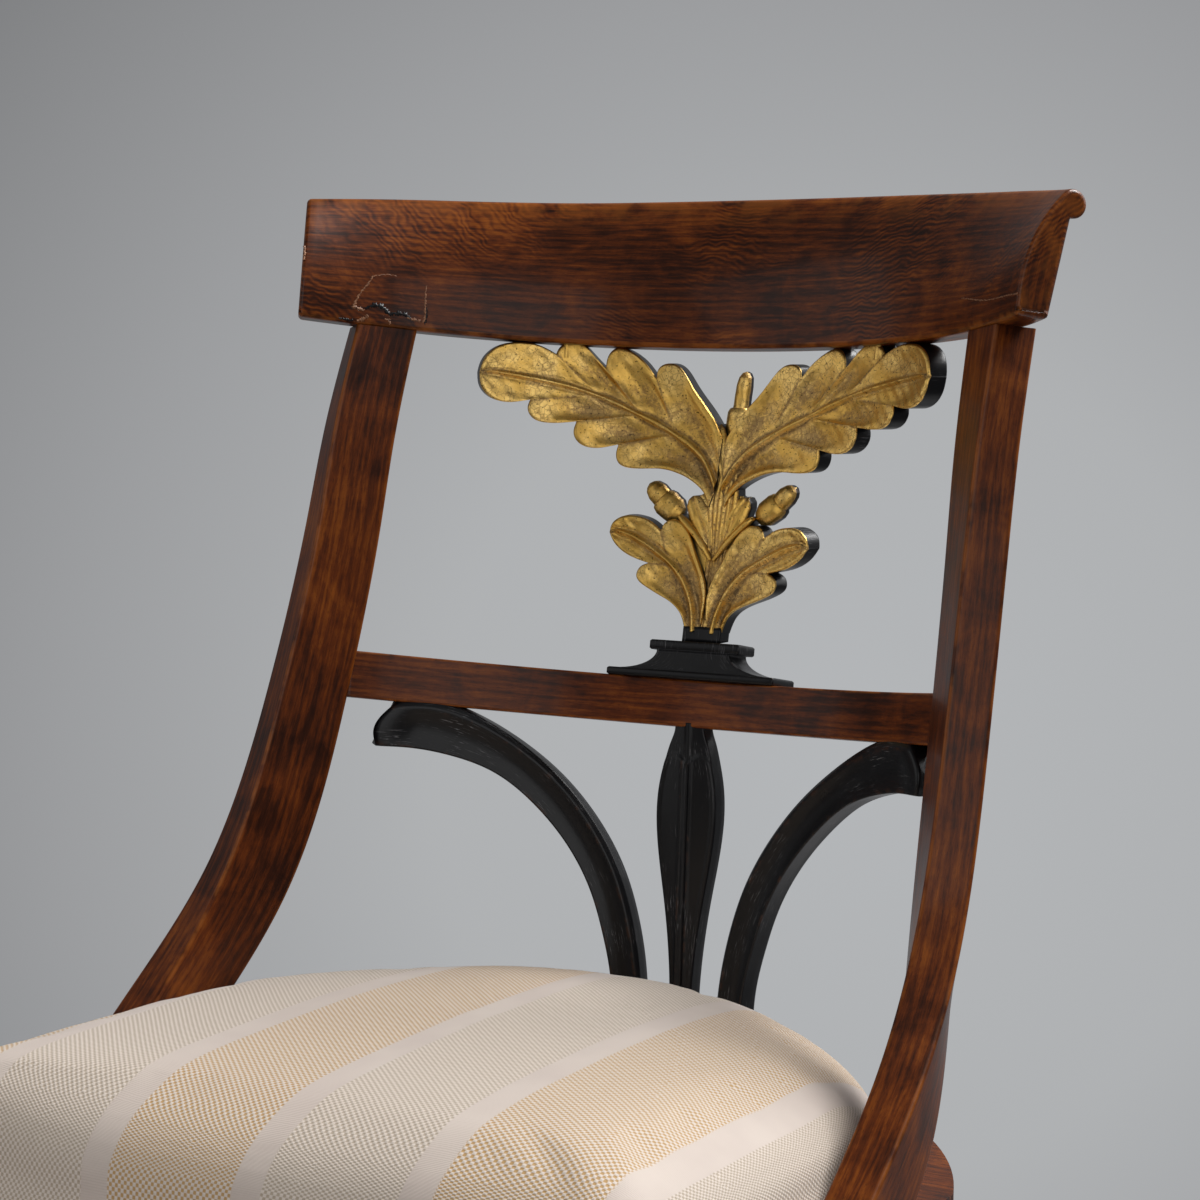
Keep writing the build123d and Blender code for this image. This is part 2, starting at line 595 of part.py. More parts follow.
def seat_bars():
    """The four bars of the loose seat's frame."""
    outer = SEAT_CLEARANCE + COVER_THICK
    ring = seat_slab(outer, BAR_Z, SEAT_BAR_THICK) - seat_slab(outer + SEAT_BAR_WIDTH, BAR_Z, SEAT_BAR_THICK)
    front_cut = SEAT_FRONT_Y + outer + SEAT_BAR_WIDTH
    rear_cut = CORNER_Y
    ahead = Pos(0, front_cut, 0) * Box(BIG, BIG, BIG, align=(Align.CENTER, Align.MAX, Align.CENTER))
    behind = Pos(0, rear_cut, 0) * Box(BIG, BIG, BIG, align=(Align.CENTER, Align.MIN, Align.CENTER))
    right_side = Box(BIG, BIG, BIG, align=(Align.MIN, Align.CENTER, Align.CENTER))
    right = (ring & right_side) - ahead - behind
    return {
        "seat_front_bar": ring & ahead, "seat_rear_bar": ring & behind,
        "seat_left_bar": mirrored(right), "seat_right_bar": right,
    }


def seat_bar_dowels():
    """Middles and directions of the dowels between the seat bars."""
    middle_x = SEAT_HALF - SEAT_CLEARANCE - COVER_THICK - SEAT_BAR_WIDTH / 2
    front_cut = SEAT_FRONT_Y + SEAT_CLEARANCE + COVER_THICK + SEAT_BAR_WIDTH
    height = BAR_Z + SEAT_BAR_THICK / 2
    return [
        ((side * (middle_x + step), along, height), (0, 1, 0))
        for side in (1, -1) for step in (-SEAT_BAR_WIDTH / 5, SEAT_BAR_WIDTH / 5)
        for along in (front_cut, CORNER_Y)
    ]


def crown(inset, base):
    """Stuffed seat: drawn-in sides and a crown, drawn in by an inset from the cover's outside."""
    half = SEAT_HALF - SEAT_CLEARANCE - inset
    radius = REAR_RAIL_RADIUS - SEAT_CLEARANCE - inset
    rear = SEAT_CENTRE_Y + radius
    length = rear - (SEAT_FRONT_Y + SEAT_CLEARANCE + inset)
    # Each station: distance from the rear, and share of the crown's height at its middle
    stations = [(-CROWN_OVERLAP, 0.43), (7.0, 0.53), (25.0, 0.69), (60.0, 0.85), (100.0, 0.94)]
    stations += [(140.0, 0.97)]
    straight_part = ((0.55, 1.0), (0.75, 0.99), (0.90, 0.93), (0.965, 0.81))
    stations += [(length * part, share) for part, share in straight_part]
    stations += [(length + CROWN_OVERLAP, 0.56)]
    sections = []
    for offset, share in stations:
        reach = min(max(radius - offset, 0), radius)
        wide = max(min(half, sqrt(radius ** 2 - reach ** 2)), 2 * CROWN_SHOULDER_INSET) + CROWN_OVERLAP
        top = SEAT_RAIL_TOP + (CROWN_HEIGHT - inset) * share
        shoulder = SEAT_RAIL_TOP + (top - SEAT_RAIL_TOP) * (1 - CROWN_SHOULDER_DROP / CROWN_HEIGHT)
        shoulder_half = wide - CROWN_OVERLAP - CROWN_SHOULDER_INSET
        knee = SEAT_RAIL_TOP + (shoulder - SEAT_RAIL_TOP) * 0.48
        bulge = (wide - CROWN_OVERLAP, (knee + shoulder) / 2)
        outline = (
            Polyline((-wide, knee), (-wide, base), (wide, base), (wide, knee))
            + ThreePointArc((wide, knee), bulge, (shoulder_half, shoulder))
            + ThreePointArc((shoulder_half, shoulder), (0, top), (-shoulder_half, shoulder))
            + ThreePointArc((-shoulder_half, shoulder), (-bulge[0], bulge[1]), (-wide, knee))
        )
        plane = Plane(origin=(0, rear - offset, 0), x_dir=(1, 0, 0), z_dir=(0, -1, 0))
        sections.append(plane * make_face(outline))
    # The loft runs past the outline of the seat, which trims its sides
    return loft(sections) & seat_slab(SEAT_CLEARANCE + inset, base, BIG)


def stuffing():
    """Soft layers of the loose seat: pad, wadding, and a thin cover whose hem is turned under the frame."""
    core = COVER_THICK + WADDING_THICK
    inner = crown(core, BAR_Z)
    middle = crown(COVER_THICK, BAR_Z)
    hem_edge = SEAT_CLEARANCE + COVER_THICK + COVER_HEM
    cover = crown(0, HEM_Z) - middle - seat_slab(hem_edge, HEM_Z - COVER_THICK, 3 * COVER_THICK)
    return {
        "horsehair_pad": inner & above(PAD_Z),
        "wadding": (middle - inner) & above(PAD_Z),
        "seat_cover": cover,
    }


def webbing():
    """Straps across the frame: one group lengthways, one group across on top of it."""
    bars = SEAT_CLEARANCE + COVER_THICK
    reach = SEAT_BAR_WIDTH * 0.75
    inside = seat_slab(bars + SEAT_BAR_WIDTH - reach, WEBBING_Z, 2 * WEBBING_THICK)
    pitch_x = (SEAT_HALF - bars - SEAT_BAR_WIDTH) * 2 / (WEBBING_COUNT + 0.5)
    pitch_y = (SEAT_INNER_DEPTH - 2 * SEAT_BAR_WIDTH) / (WEBBING_COUNT + 0.5)
    middle_y = (SEAT_FRONT_Y + SEAT_REAR_Y) / 2
    low = (Align.CENTER, Align.CENTER, Align.MIN)
    long_straps = []
    cross_straps = []
    for index in range(WEBBING_COUNT):
        step = index - (WEBBING_COUNT - 1) / 2
        strap = Pos(step * pitch_x, 0, WEBBING_Z) * Box(WEBBING_WIDTH, BIG, WEBBING_THICK, align=low)
        long_straps.append(inside & strap)
        level = WEBBING_Z + WEBBING_THICK
        strap = Pos(0, middle_y + step * pitch_y, level) * Box(BIG, WEBBING_WIDTH, WEBBING_THICK, align=low)
        cross_straps.append(inside & strap)
    return Compound(long_straps), Compound(cross_straps)


def tack(x, y, surface, way):
    """Small tack driven up or down from a surface."""
    low = (Align.CENTER, Align.CENTER, Align.MIN)
    head = Cylinder(TACK_HEAD_RADIUS, TACK_HEAD_THICK, align=low)
    body = head + Cylinder(TACK_RADIUS, TACK_LENGTH, align=low)
    plane = Plane(origin=(x, y, surface - way * TACK_HEAD_THICK), x_dir=(1, 0, 0), z_dir=(0, 0, way))
    return plane * body


def cover_tacks():
    """Tacks through the dust cloth and the hem, round the underside of the frame."""
    inset = SEAT_CLEARANCE + COVER_THICK + LEDGER + 2 * TACK_HEAD_RADIUS
    border = seat_outline(inset).wire()
    count = int(border.length / TACK_PITCH)
    spots = [border.position_at(index / count) for index in range(count)]
    return Compound([tack(spot.X, spot.Y, DUST_CLOTH_Z, 1) for spot in spots])


def webbing_tacks():
    """Two tacks in each end of each strap."""
    bars = SEAT_CLEARANCE + COVER_THICK
    pitch_x = (SEAT_HALF - bars - SEAT_BAR_WIDTH) * 2 / (WEBBING_COUNT + 0.5)
    pitch_y = (SEAT_INNER_DEPTH - 2 * SEAT_BAR_WIDTH) / (WEBBING_COUNT + 0.5)
    middle_y = (SEAT_FRONT_Y + SEAT_REAR_Y) / 2
    tacks = []
    for index in range(WEBBING_COUNT):
        step = index - (WEBBING_COUNT - 1) / 2
        for offset in (-WEBBING_WIDTH / 4, WEBBING_WIDTH / 4):
            along = middle_y + step * pitch_y + offset
            across = step * pitch_x + offset
            for side in (1, -1):
                end = SEAT_HALF - bars - SEAT_BAR_WIDTH / 2
                if along > CORNER_Y - SEAT_BAR_WIDTH / 2:
                    radius = REAR_RAIL_RADIUS - bars - SEAT_BAR_WIDTH / 2
                    end = min(end, sqrt(radius ** 2 - (along - SEAT_CENTRE_Y) ** 2))
                tacks.append(tack(side * end, along, HESSIAN_Z - TACK_HEAD_THICK, -1))
            radius = REAR_RAIL_RADIUS - bars - SEAT_BAR_WIDTH / 2
            rear = SEAT_CENTRE_Y + sqrt(radius ** 2 - across ** 2)
            for end in (SEAT_FRONT_Y + bars + SEAT_BAR_WIDTH / 2, rear):
                tacks.append(tack(across, end, WEBBING_Z + WEBBING_THICK, -1))
    return Compound(tacks)


def build():
    """Make every piece, by name."""
    parts = {}

    # Back frame
    rail = top_rail()
    right_tenon = stile_tenon()
    right_stile = stile() + right_tenon
    left_stile = mirrored(right_stile)
    rail = rail - right_tenon - mirrored(right_tenon)
    middle = middle_rail(right_stile + left_stile)
    block = plinth()
    spray = carving()
    wall = splat_wall()
    right_arm = splat_arm(wall, middle)
    left_arm = mirrored(right_arm)
    leaf = lancet(wall, middle)

    # Seat frame
    rear_rail = rear_seat_rail() - rear_leg_tenon() - mirrored(rear_leg_tenon())
    right_rail = side_rail()
    left_rail = mirrored(right_rail)
    front = front_rail()
    right_front_leg = front_leg()
    left_front_leg = mirrored(right_front_leg)
    right_rear_leg = rear_leg()
    right_block = corner_block(right_front_leg)

    # Peg through the left stile's tenon, its end flush with the front of the top rail
    way = Vector(-sin(radians(STILE_ANGLE)), cos(radians(STILE_ANGLE)), 0)
    spot = Vector(0, -TOP_RAIL_RADIUS, TENON_PEG_HEIGHT) + way * TOP_RAIL_RADIUS
    tenon_peg = TOP_RAIL_FRAME * peg(spot, way, 2 * TENON_PEG_LENGTH, TENON_PEG_RADIUS)
    tenon_peg = tenon_peg & (rail + left_stile)
    rail = rail - tenon_peg
    left_stile = left_stile - tenon_peg
    parts["tenon_peg"] = tenon_peg

    # Dowels of the back frame
    end_angle = degrees(asin((SEAT_HALF - SIDE_RAIL_THICK) / MIDDLE_RAIL_RADIUS))
    pegs = []
    for side in (1, -1):
        for share in (0.3, 0.7):
            angle = radians(side * end_angle)
            distance = MIDDLE_RAIL_RADIUS + MIDDLE_RAIL_THICK / 2
            middle_point = Vector(distance * sin(angle), distance * cos(angle) - MIDDLE_RAIL_RADIUS,
                                  MIDDLE_RAIL_HEIGHT * share)
            start = (MIDDLE_RAIL_FRAME * Pos(*middle_point)).position
            ahead = (MIDDLE_RAIL_FRAME * Pos(*(middle_point + Vector(cos(angle), -sin(angle), 0)))).position
            pegs.append((start, ahead - start))
    (middle, right_stile, left_stile), parts["middle_rail_dowels"] = pegged(
        (middle, right_stile, left_stile), pegs, PIN_RADIUS, DOWEL_LENGTH)

    # Dowels under the foot of each stile
    pegs = []
    for side in (1, -1):
        for share in (0.27, 0.42):
            along = CORNER_Y - STILE_FOOT_RUN * share
            pegs.append(((side * (SEAT_HALF + SIDE_RAIL_THICK / 2), along, SEAT_RAIL_TOP), (0, 0, 1)))
    (right_stile, left_stile, right_rail, left_rail), parts["stile_foot_dowels"] = pegged(
        (right_stile, left_stile, right_rail, left_rail), pegs, DOWEL_RADIUS, DOWEL_LENGTH)

    # Pins of the plinth, the carving and the splat
    up = (MIDDLE_RAIL_FRAME * Pos(0, 0, 1)).position - MIDDLE_RAIL_FRAME.position
    pegs = []
    for x in (-PLINTH_WAIST_WIDTH / 3, PLINTH_WAIST_WIDTH / 3):
        pegs.append(((MIDDLE_RAIL_FRAME * Pos(x, MIDDLE_RAIL_THICK / 2, MIDDLE_RAIL_HEIGHT)).position, up))
    (middle, block), parts["plinth_pins"] = pegged((middle, block), pegs, PIN_RADIUS, PIN_LENGTH)
    slab_level = MIDDLE_RAIL_HEIGHT + plinth_height()
    slab_top = (MIDDLE_RAIL_FRAME * Pos(0, MIDDLE_RAIL_THICK / 2, slab_level)).position
    stem_y = BACK_Y + CARVING_SETBACK - (TOP_RAIL_BASE - slab_top.Z) * CARVING_LEAN + CARVING_THICK / 2
    pegs = [(Vector(0, stem_y, slab_top.Z), up)]
    for side in (1, -1):
        x = side * TOP_RAIL_RADIUS * sin(radians(STILE_ANGLE / 2))
        fall = TOP_RAIL_RADIUS * (1 - cos(radians(STILE_ANGLE / 2)))
        tip = (TOP_RAIL_FRAME * Pos(x, TOP_RAIL_THICK / 2 - fall, 0)).position
        pegs.append((tip, up))
    (spray, block, rail), parts["carving_pins"] = pegged((spray, block, rail), pegs, PIN_RADIUS, PIN_LENGTH)
    foot_y = BACK_Y - MIDDLE_RAIL_FORWARD - SPLAT_SETBACK + SPLAT_THICK / 2
    low_y = foot_y - SPLAT_HEIGHT * SPLAT_LEAN
    lean = (0, SPLAT_LEAN, 1)
    pegs = [((0, foot_y, MIDDLE_RAIL_BASE), lean), ((0, low_y, SEAT_RAIL_TOP), lean)]
    for side in (1, -1):
        high = (ARM_TIP + ARM_NECK) / 2
        fall = SPLAT_RADIUS - sqrt(SPLAT_RADIUS ** 2 - high ** 2)
        rise = fall * tan(radians(MIDDLE_RAIL_RAKE))
        pegs.append(((side * high, foot_y - fall, MIDDLE_RAIL_BASE + rise), lean))
        low = (ARM_FOOT_INNER + ARM_FOOT_OUTER) / 2
        low_fall = SPLAT_RADIUS - sqrt(SPLAT_RADIUS ** 2 - low ** 2)
        pegs.append(((side * low, low_y - low_fall, SEAT_RAIL_TOP), lean))
    pieces = (right_arm, left_arm, leaf, middle, rear_rail)
    (right_arm, left_arm, leaf, middle, rear_rail), parts["splat_pins"] = pegged(
        pieces, pegs, PIN_RADIUS, PIN_LENGTH)

    # Dowels of the seat frame
    pegs = []
    for side in (1, -1):
        across = side * (SEAT_HALF + SIDE_RAIL_THICK / 2)
        for share in (0.2, 0.55):
            level = SEAT_RAIL_BASE + SEAT_RAIL_HEIGHT * share
            pegs.append(((across, LEG_BACK_Y, level), (0, 1, 0)))
            pegs.append(((across, CORNER_Y, level), (0, 1, 0)))
            front_x = side * (SEAT_WIDTH / 2 - LEG_BLOCK)
            front_level = SEAT_RAIL_BASE + SEAT_RAIL_HEIGHT * (share + 0.1)
            pegs.append(((front_x, FRONT_Y + FRONT_RAIL_THICK / 2, front_level), (1, 0, 0)))
    pieces = (right_rail, left_rail, front, rear_rail, right_front_leg, left_front_leg)
    pieces, parts["seat_frame_dowels"] = pegged(pieces, pegs, DOWEL_RADIUS, DOWEL_LENGTH)
    right_rail, left_rail, front, rear_rail, right_front_leg, left_front_leg = pieces

    parts.update({
        "top_rail": rail, "left_stile": left_stile, "right_stile": right_stile, "middle_rail": middle,
        "plinth": block, "oak_leaf_carving": spray, "left_splat_arm": left_arm, "right_splat_arm": right_arm,
        "lancet_leaf": leaf, "rear_seat_rail": rear_rail, "left_side_rail": left_rail,
        "right_side_rail": right_rail, "front_seat_rail": front, "left_front_leg": left_front_leg,
        "right_front_leg": right_front_leg, "left_rear_leg": mirrored(right_rear_leg),
        "right_rear_leg": right_rear_leg, "left_corner_block": mirrored(right_block),
        "right_corner_block": right_block,
    })
    parts.update(ledgers())
    parts["ledger_screws"] = ledger_screws()
    parts["corner_block_screws"] = corner_screws()
    glide = Cylinder(GLIDE_RADIUS, GLIDE_THICK, align=(Align.CENTER, Align.CENTER, Align.MIN))
    feet = [Pos(side * x, y, 0) * glide for x, y in glide_spots() for side in (1, -1)]
    parts["felt_glides"] = Compound(feet)

    # Loose seat
    bars = seat_bars()
    drilled, parts["seat_bar_dowels"] = pegged(
        tuple(bars.values()), seat_bar_dowels(), DOWEL_RADIUS, DOWEL_LENGTH)
    parts.update(dict(zip(bars, drilled)))
    parts["webbing_lengthways"], parts["webbing_across"] = webbing()
    parts["webbing_tacks"] = webbing_tacks()
    parts["hessian"] = seat_slab(SEAT_CLEARANCE + COVER_THICK + WADDING_THICK, HESSIAN_Z, HESSIAN_THICK)
    parts.update(stuffing())
    parts["dust_cloth"] = seat_slab(SEAT_CLEARANCE + 2 * COVER_THICK, DUST_CLOTH_Z, DUST_CLOTH_THICK)
    parts["cover_tacks"] = cover_tacks()
    return parts


os.makedirs("parts", exist_ok=True)
for name, shape in build().items():
    export_step(shape, f"parts/{name}.step")
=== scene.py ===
"""Looks of a side chair with a curved gondola back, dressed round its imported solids.

Sizes are in millimetres in the chair's own frame: +Z is up, -Y is the front and the floor is at 0.
Meshes are written in metres.
"""
import logging
from dataclasses import dataclass, field
from enum import Enum
from math import radians

import bmesh
import bpy
import numpy as np
from mathutils import Matrix, Vector


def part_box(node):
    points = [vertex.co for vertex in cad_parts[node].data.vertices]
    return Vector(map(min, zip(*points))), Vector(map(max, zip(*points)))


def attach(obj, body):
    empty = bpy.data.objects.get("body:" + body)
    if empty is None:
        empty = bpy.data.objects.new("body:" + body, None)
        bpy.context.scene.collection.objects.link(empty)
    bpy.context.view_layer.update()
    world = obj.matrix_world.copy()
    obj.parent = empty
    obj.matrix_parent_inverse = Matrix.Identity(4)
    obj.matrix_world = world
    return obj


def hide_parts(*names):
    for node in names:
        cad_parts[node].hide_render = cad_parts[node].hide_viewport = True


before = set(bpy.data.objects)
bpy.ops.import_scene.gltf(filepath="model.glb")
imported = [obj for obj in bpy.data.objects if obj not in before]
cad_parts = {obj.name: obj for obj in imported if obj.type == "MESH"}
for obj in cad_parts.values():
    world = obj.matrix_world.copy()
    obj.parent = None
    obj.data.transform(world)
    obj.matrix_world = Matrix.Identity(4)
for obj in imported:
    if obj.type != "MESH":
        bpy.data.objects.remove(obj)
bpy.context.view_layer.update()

MM = 0.001
FRAME_BODY = "chair_frame"
SEAT_BODY = "loose_seat"

Array = np.ndarray
Colour = tuple[float, float, float]
Points = tuple[tuple[float, float], ...]

log = logging.getLogger("side_chair")


# Curves and outlines


def natural_spline(knots: Array, rows: Array, samples: Array) -> Array:
    """Natural cubic through rows of values.

    The second derivatives solve the usual tridiagonal system, and each stretch is the cubic that
    matches the values and second derivatives at its two ends.

    Args:
        knots: Rising parameter of each row.
        rows: Values at the knots, one row each.
        samples: Parameters to work the spline out at.

    Returns:
        One row of values for each sample.
    """
    gaps = np.diff(knots)
    count = len(knots)
    inner = np.arange(1, count - 1)
    system = np.eye(count)
    system[inner, inner - 1] = gaps[:-1]
    system[inner, inner] = 2 * (gaps[:-1] + gaps[1:])
    system[inner, inner + 1] = gaps[1:]
    right = np.zeros(rows.shape)
    right[1:-1] = 6 * np.diff(np.diff(rows, axis=0) / gaps[:, None], axis=0)
    bend = np.linalg.solve(system, right)
    cell = np.clip(np.searchsorted(knots, samples, side="right") - 1, 0, count - 2)
    width = gaps[cell][:, None]
    after = (samples - knots[cell])[:, None] / width
    before = 1 - after
    curve = (before ** 3 - before) * bend[cell] + (after ** 3 - after) * bend[cell + 1]
    return before * rows[cell] + after * rows[cell + 1] + curve * width ** 2 / 6


def chord_lengths(rows: Array) -> Array:
    """Distance along a polyline at each of its points."""
    steps = np.linalg.norm(np.diff(rows, axis=0), axis=1)
    return np.concatenate([[0.0], np.cumsum(steps)])


def curve_through(points: Points, shares: Array) -> Array:
    """Smooth curve through a few points, at shares of its length.

    Args:
        points: Points that the curve passes.
        shares: Shares of the way along, from 0 to 1.

    Returns:
        One point for each share.
    """
    rows = np.array(points, float)
    knots = chord_lengths(rows)
    fine = natural_spline(knots, rows, np.linspace(0, knots[-1], 40 * len(rows)))
    reach = chord_lengths(fine)
    columns = [np.interp(shares * reach[-1], reach, fine[:, k]) for k in range(rows.shape[1])]
    return np.stack(columns, axis=1)


SIDE_SHARES = (0.04, 0.2, 0.4, 0.6, 0.8, 0.96)


def rounded_outline(corners: Array, radius: float, steps: int = 7) -> tuple[Array, Array]:
    """Closed outline whose corners are rounded by a quadratic curve.

    Args:
        corners: Corner points in order, (..., corner, 2 or 3).
        radius: Radius of the rounding.
        steps: Steps in each corner.

    Returns:
        The outline's points, and for each a mark that is 1 in the middle of a corner and 0 on a side.
    """
    back = np.roll(corners, 1, axis=-2) - corners
    ahead = np.roll(corners, -1, axis=-2) - corners
    back = back / np.linalg.norm(back, axis=-1, keepdims=True)
    ahead = ahead / np.linalg.norm(ahead, axis=-1, keepdims=True)
    angle = np.arccos(np.clip((back * ahead).sum(-1), -0.9999, 0.9999))
    reach = (radius / np.tan(angle / 2))[..., None]
    start = corners + back * reach
    end = corners + ahead * reach
    turn = np.linspace(0, 1, steps + 1)[:, None]
    arcs = ((1 - turn) ** 2 * start[..., None, :] + 2 * turn * (1 - turn) * corners[..., None, :]
            + turn ** 2 * end[..., None, :])
    shares = np.array(SIDE_SHARES)[:, None]
    next_start = np.roll(start, -1, axis=-2)
    sides = end[..., None, :] + shares * (next_start - end)[..., None, :]
    outline = np.concatenate([arcs, sides], axis=-2)
    points = outline.reshape(*corners.shape[:-2], -1, corners.shape[-1])
    one = np.concatenate([np.sin(np.pi * turn[:, 0]), np.zeros(len(SIDE_SHARES))])
    return points, np.tile(one, corners.shape[-2])


def smooth_step(values: Array, low: float, high: float) -> Array:
    """Rise from 0 to 1 between two values, level at both ends."""
    share = np.clip((values - low) / (high - low), 0, 1)
    return share * share * (3 - 2 * share)


def turned_x(points: Array, degrees: float, origin: tuple[float, float, float]) -> Array:
    """Lean points back about the X axis and move them to an origin.

    Args:
        points: Points in the piece's own frame.
        degrees: How far the top leans back.
        origin: Where the frame's origin goes.

    Returns:
        The points in the chair's frame.
    """
    lean = radians(degrees)
    y = points[..., 1] * np.cos(lean) + points[..., 2] * np.sin(lean)
    z = points[..., 2] * np.cos(lean) - points[..., 1] * np.sin(lean)
    return np.stack([points[..., 0], y, z], axis=-1) + np.array(origin)


@dataclass(frozen=True)
class Bow:
    """Upright sheet, bowed to the back like the sitter's shoulders, that leans back as it rises."""

    radius: float
    middle_y: float
    level: float
    lean: float

    def place(self, across: Array, height: Array, depth: Array) -> Array:
        """Points on or behind the sheet.

        The sheet is part of a cylinder about an upright axis, sheared back with height.

        Args:
            across: Distance from the middle, measured on the front.
            height: Height over the floor.
            depth: Distance behind the front.

        Returns:
            Points in the chair's frame.
        """
        angle = np.arcsin(np.clip(across / self.radius, -0.98, 0.98))
        reach = self.radius + depth
        y = self.middle_y + self.lean * (height - self.level) + reach * np.cos(angle) - self.radius
        return np.stack(np.broadcast_arrays(reach * np.sin(angle), y, height), axis=-1)


# Meshes


@dataclass
class Shell:
    """Mesh in the making: grids of points with their UVs, finishes and marks for rubbing, painted highlight
    and painted shade.
    """

    points: list[Array] = field(default_factory=list)
    quads: list[Array] = field(default_factory=list)
    corner_uvs: list[Array] = field(default_factory=list)
    finishes: list[Array] = field(default_factory=list)
    wear_and_shading: list[Array] = field(default_factory=list)
    size: int = 0

    def add_grid(self, points: Array, wear_and_shading: Array | float = 0.0, ring: bool = False,
                 finish: Array | int = 0) -> None:
        """Add a grid of quads. Its UVs are the distances along its rows and columns, in metres.

        Args:
            points: Grid of points, (row, column, 3), in millimetres.
            wear_and_shading: Mark of each point, or of all, for rubbing, painted highlight and painted shade.
            ring: Whether the last column joins the first.
            finish: Place in the list of finishes of each column of quads, or of all.
        """
        rows, columns = points.shape[:2]
        index = self.size + np.arange(rows * columns).reshape(rows, columns)
        closed = points
        if ring:
            index = np.concatenate([index, index[:, :1]], axis=1)
            closed = np.concatenate([points, points[:, :1]], axis=1)
        along = np.linalg.norm(np.diff(closed, axis=0), axis=-1).mean(1)
        around = np.linalg.norm(np.diff(closed, axis=1), axis=-1).mean(0)
        u = np.concatenate([[0.0], np.cumsum(along)]) * MM
        v = np.concatenate([[0.0], np.cumsum(around)]) * MM
        uv = np.stack(np.meshgrid(u, v, indexing="ij"), axis=-1)
        self.points.append(points.reshape(-1, 3))
        self.quads.append(self._corners(index[..., None]).reshape(-1, 4))
        self.corner_uvs.append(self._corners(uv).reshape(-1, 2))
        count = (rows - 1, index.shape[1] - 1)
        self.finishes.append(np.broadcast_to(finish, count).reshape(-1))
        self.wear_and_shading.append(np.broadcast_to(wear_and_shading, (rows, columns)).reshape(-1))
        self.size += rows * columns

    @staticmethod
    def _corners(grid: Array) -> Array:
        """The four corners of each cell of a grid of values."""
        return np.stack([grid[:-1, :-1], grid[1:, :-1], grid[1:, 1:], grid[:-1, 1:]], axis=2)

    def add_closed(self, rings: Array, wear_and_shading: Array | float = 0.0, finish: Array | int = 0) -> None:
        """Add rings of points as a closed tube, with each end drawn in to a point.

        Args:
            rings: Rings of points along the piece, (ring, point, 3).
            wear_and_shading: Mark of each point, or of all, for rubbing, painted highlight and painted shade.
            finish: Place in the list of finishes of each column, or of all.
        """
        count = rings.shape[1]
        caps = [np.repeat(rings[end].mean(0)[None, None], count, axis=1) for end in (0, -1)]
        marks = np.broadcast_to(wear_and_shading, rings.shape[:2])
        marks = np.concatenate([marks[:1] * 0, marks, marks[-1:] * 0])
        self.add_grid(np.concatenate([caps[0], rings, caps[1]]), marks, ring=True, finish=finish)

    def add_folded_end(self, ring: Array, fold: int, wear_and_shading: float) -> None:
        """Close a ring of points by a grid across its short way.

        Args:
            ring: Ring of points, an even number.
            fold: Point at which the ring is folded in two.
            wear_and_shading: Mark in the middle, for rubbing and painted highlight.
        """
        turned = np.roll(ring, -fold, axis=0)
        half = len(ring) // 2
        near = turned[:half + 1]
        far = np.concatenate([turned[:1], turned[:half - 1:-1]])
        shares = np.array([0.0, 0.06, 0.35, 0.65, 0.94, 1.0])
        grid = near[:, None] + shares[None, :, None] * (far - near)[:, None]
        self.add_grid(grid, wear_and_shading)

    def build(self, name: str, materials: list[bpy.types.Material]) -> bpy.types.Object:
        """Write the mesh, with doubles merged and faces turned outwards.

        Args:
            name: Name of the piece.
            materials: Materials in the order of the finishes.

        Returns:
            The new object, at the origin.
        """
        mesh = bpy.data.meshes.new(name)
        points = np.concatenate(self.points) * MM
        mesh.from_pydata(points.tolist(), [], np.concatenate(self.quads).tolist())
        mesh.uv_layers.new(name="UVMap").data.foreach_set("uv", np.concatenate(self.corner_uvs).ravel())
        mesh.polygons.foreach_set("material_index", np.concatenate(self.finishes).astype(np.int32))
        mark = mesh.attributes.new("wear_and_shading", "FLOAT", "POINT")
        mark.data.foreach_set("value", np.concatenate(self.wear_and_shading).astype(np.float32))
        for material in materials:
            mesh.materials.append(material)
        return finished_object(name, mesh)


def finished_object(name: str, mesh: bpy.types.Mesh) -> bpy.types.Object:
    """Merge a mesh's doubles, turn its faces outwards, shade it smooth and link it as an object."""
    work = bmesh.new()
    work.from_mesh(mesh)
    bmesh.ops.remove_doubles(work, verts=work.verts, dist=0.002 * MM)
    bmesh.ops.dissolve_degenerate(work, edges=work.edges, dist=0.0005 * MM)
    bmesh.ops.recalc_face_normals(work, faces=work.faces)
    work.to_mesh(mesh)
    work.free()
    mesh.polygons.foreach_set("use_smooth", np.ones(len(mesh.polygons), bool))
    mesh.update()
    piece = bpy.data.objects.new(name, mesh)
    bpy.context.scene.collection.objects.link(piece)
    return piece


def mirrored(rings: Array) -> Array:
    """The same points on the other side of the chair."""
    return rings * np.array([-1.0, 1.0, 1.0])


def vertex_places(piece: bpy.types.Object) -> Array:
    """Places of a piece's points, one row each, in metres."""
    places = np.zeros(len(piece.data.vertices) * 3)
    piece.data.vertices.foreach_get("co", places)
    return places.reshape(-1, 3)


def settle(piece: bpy.types.Object, body: str, slot: str, *nodes: str) -> None:
    """Tie a piece to its body and hide the solids that it stands for.

    Args:
        piece: The new piece.
        body: Body that it moves with.
        slot: Not used.
        nodes: Solids that it replaces.
    """
    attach(piece, body)
    if nodes:
        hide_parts(*nodes)
    log.info("piece %s on %s: %d faces", piece.name, body, len(piece.data.polygons))


# Finishes


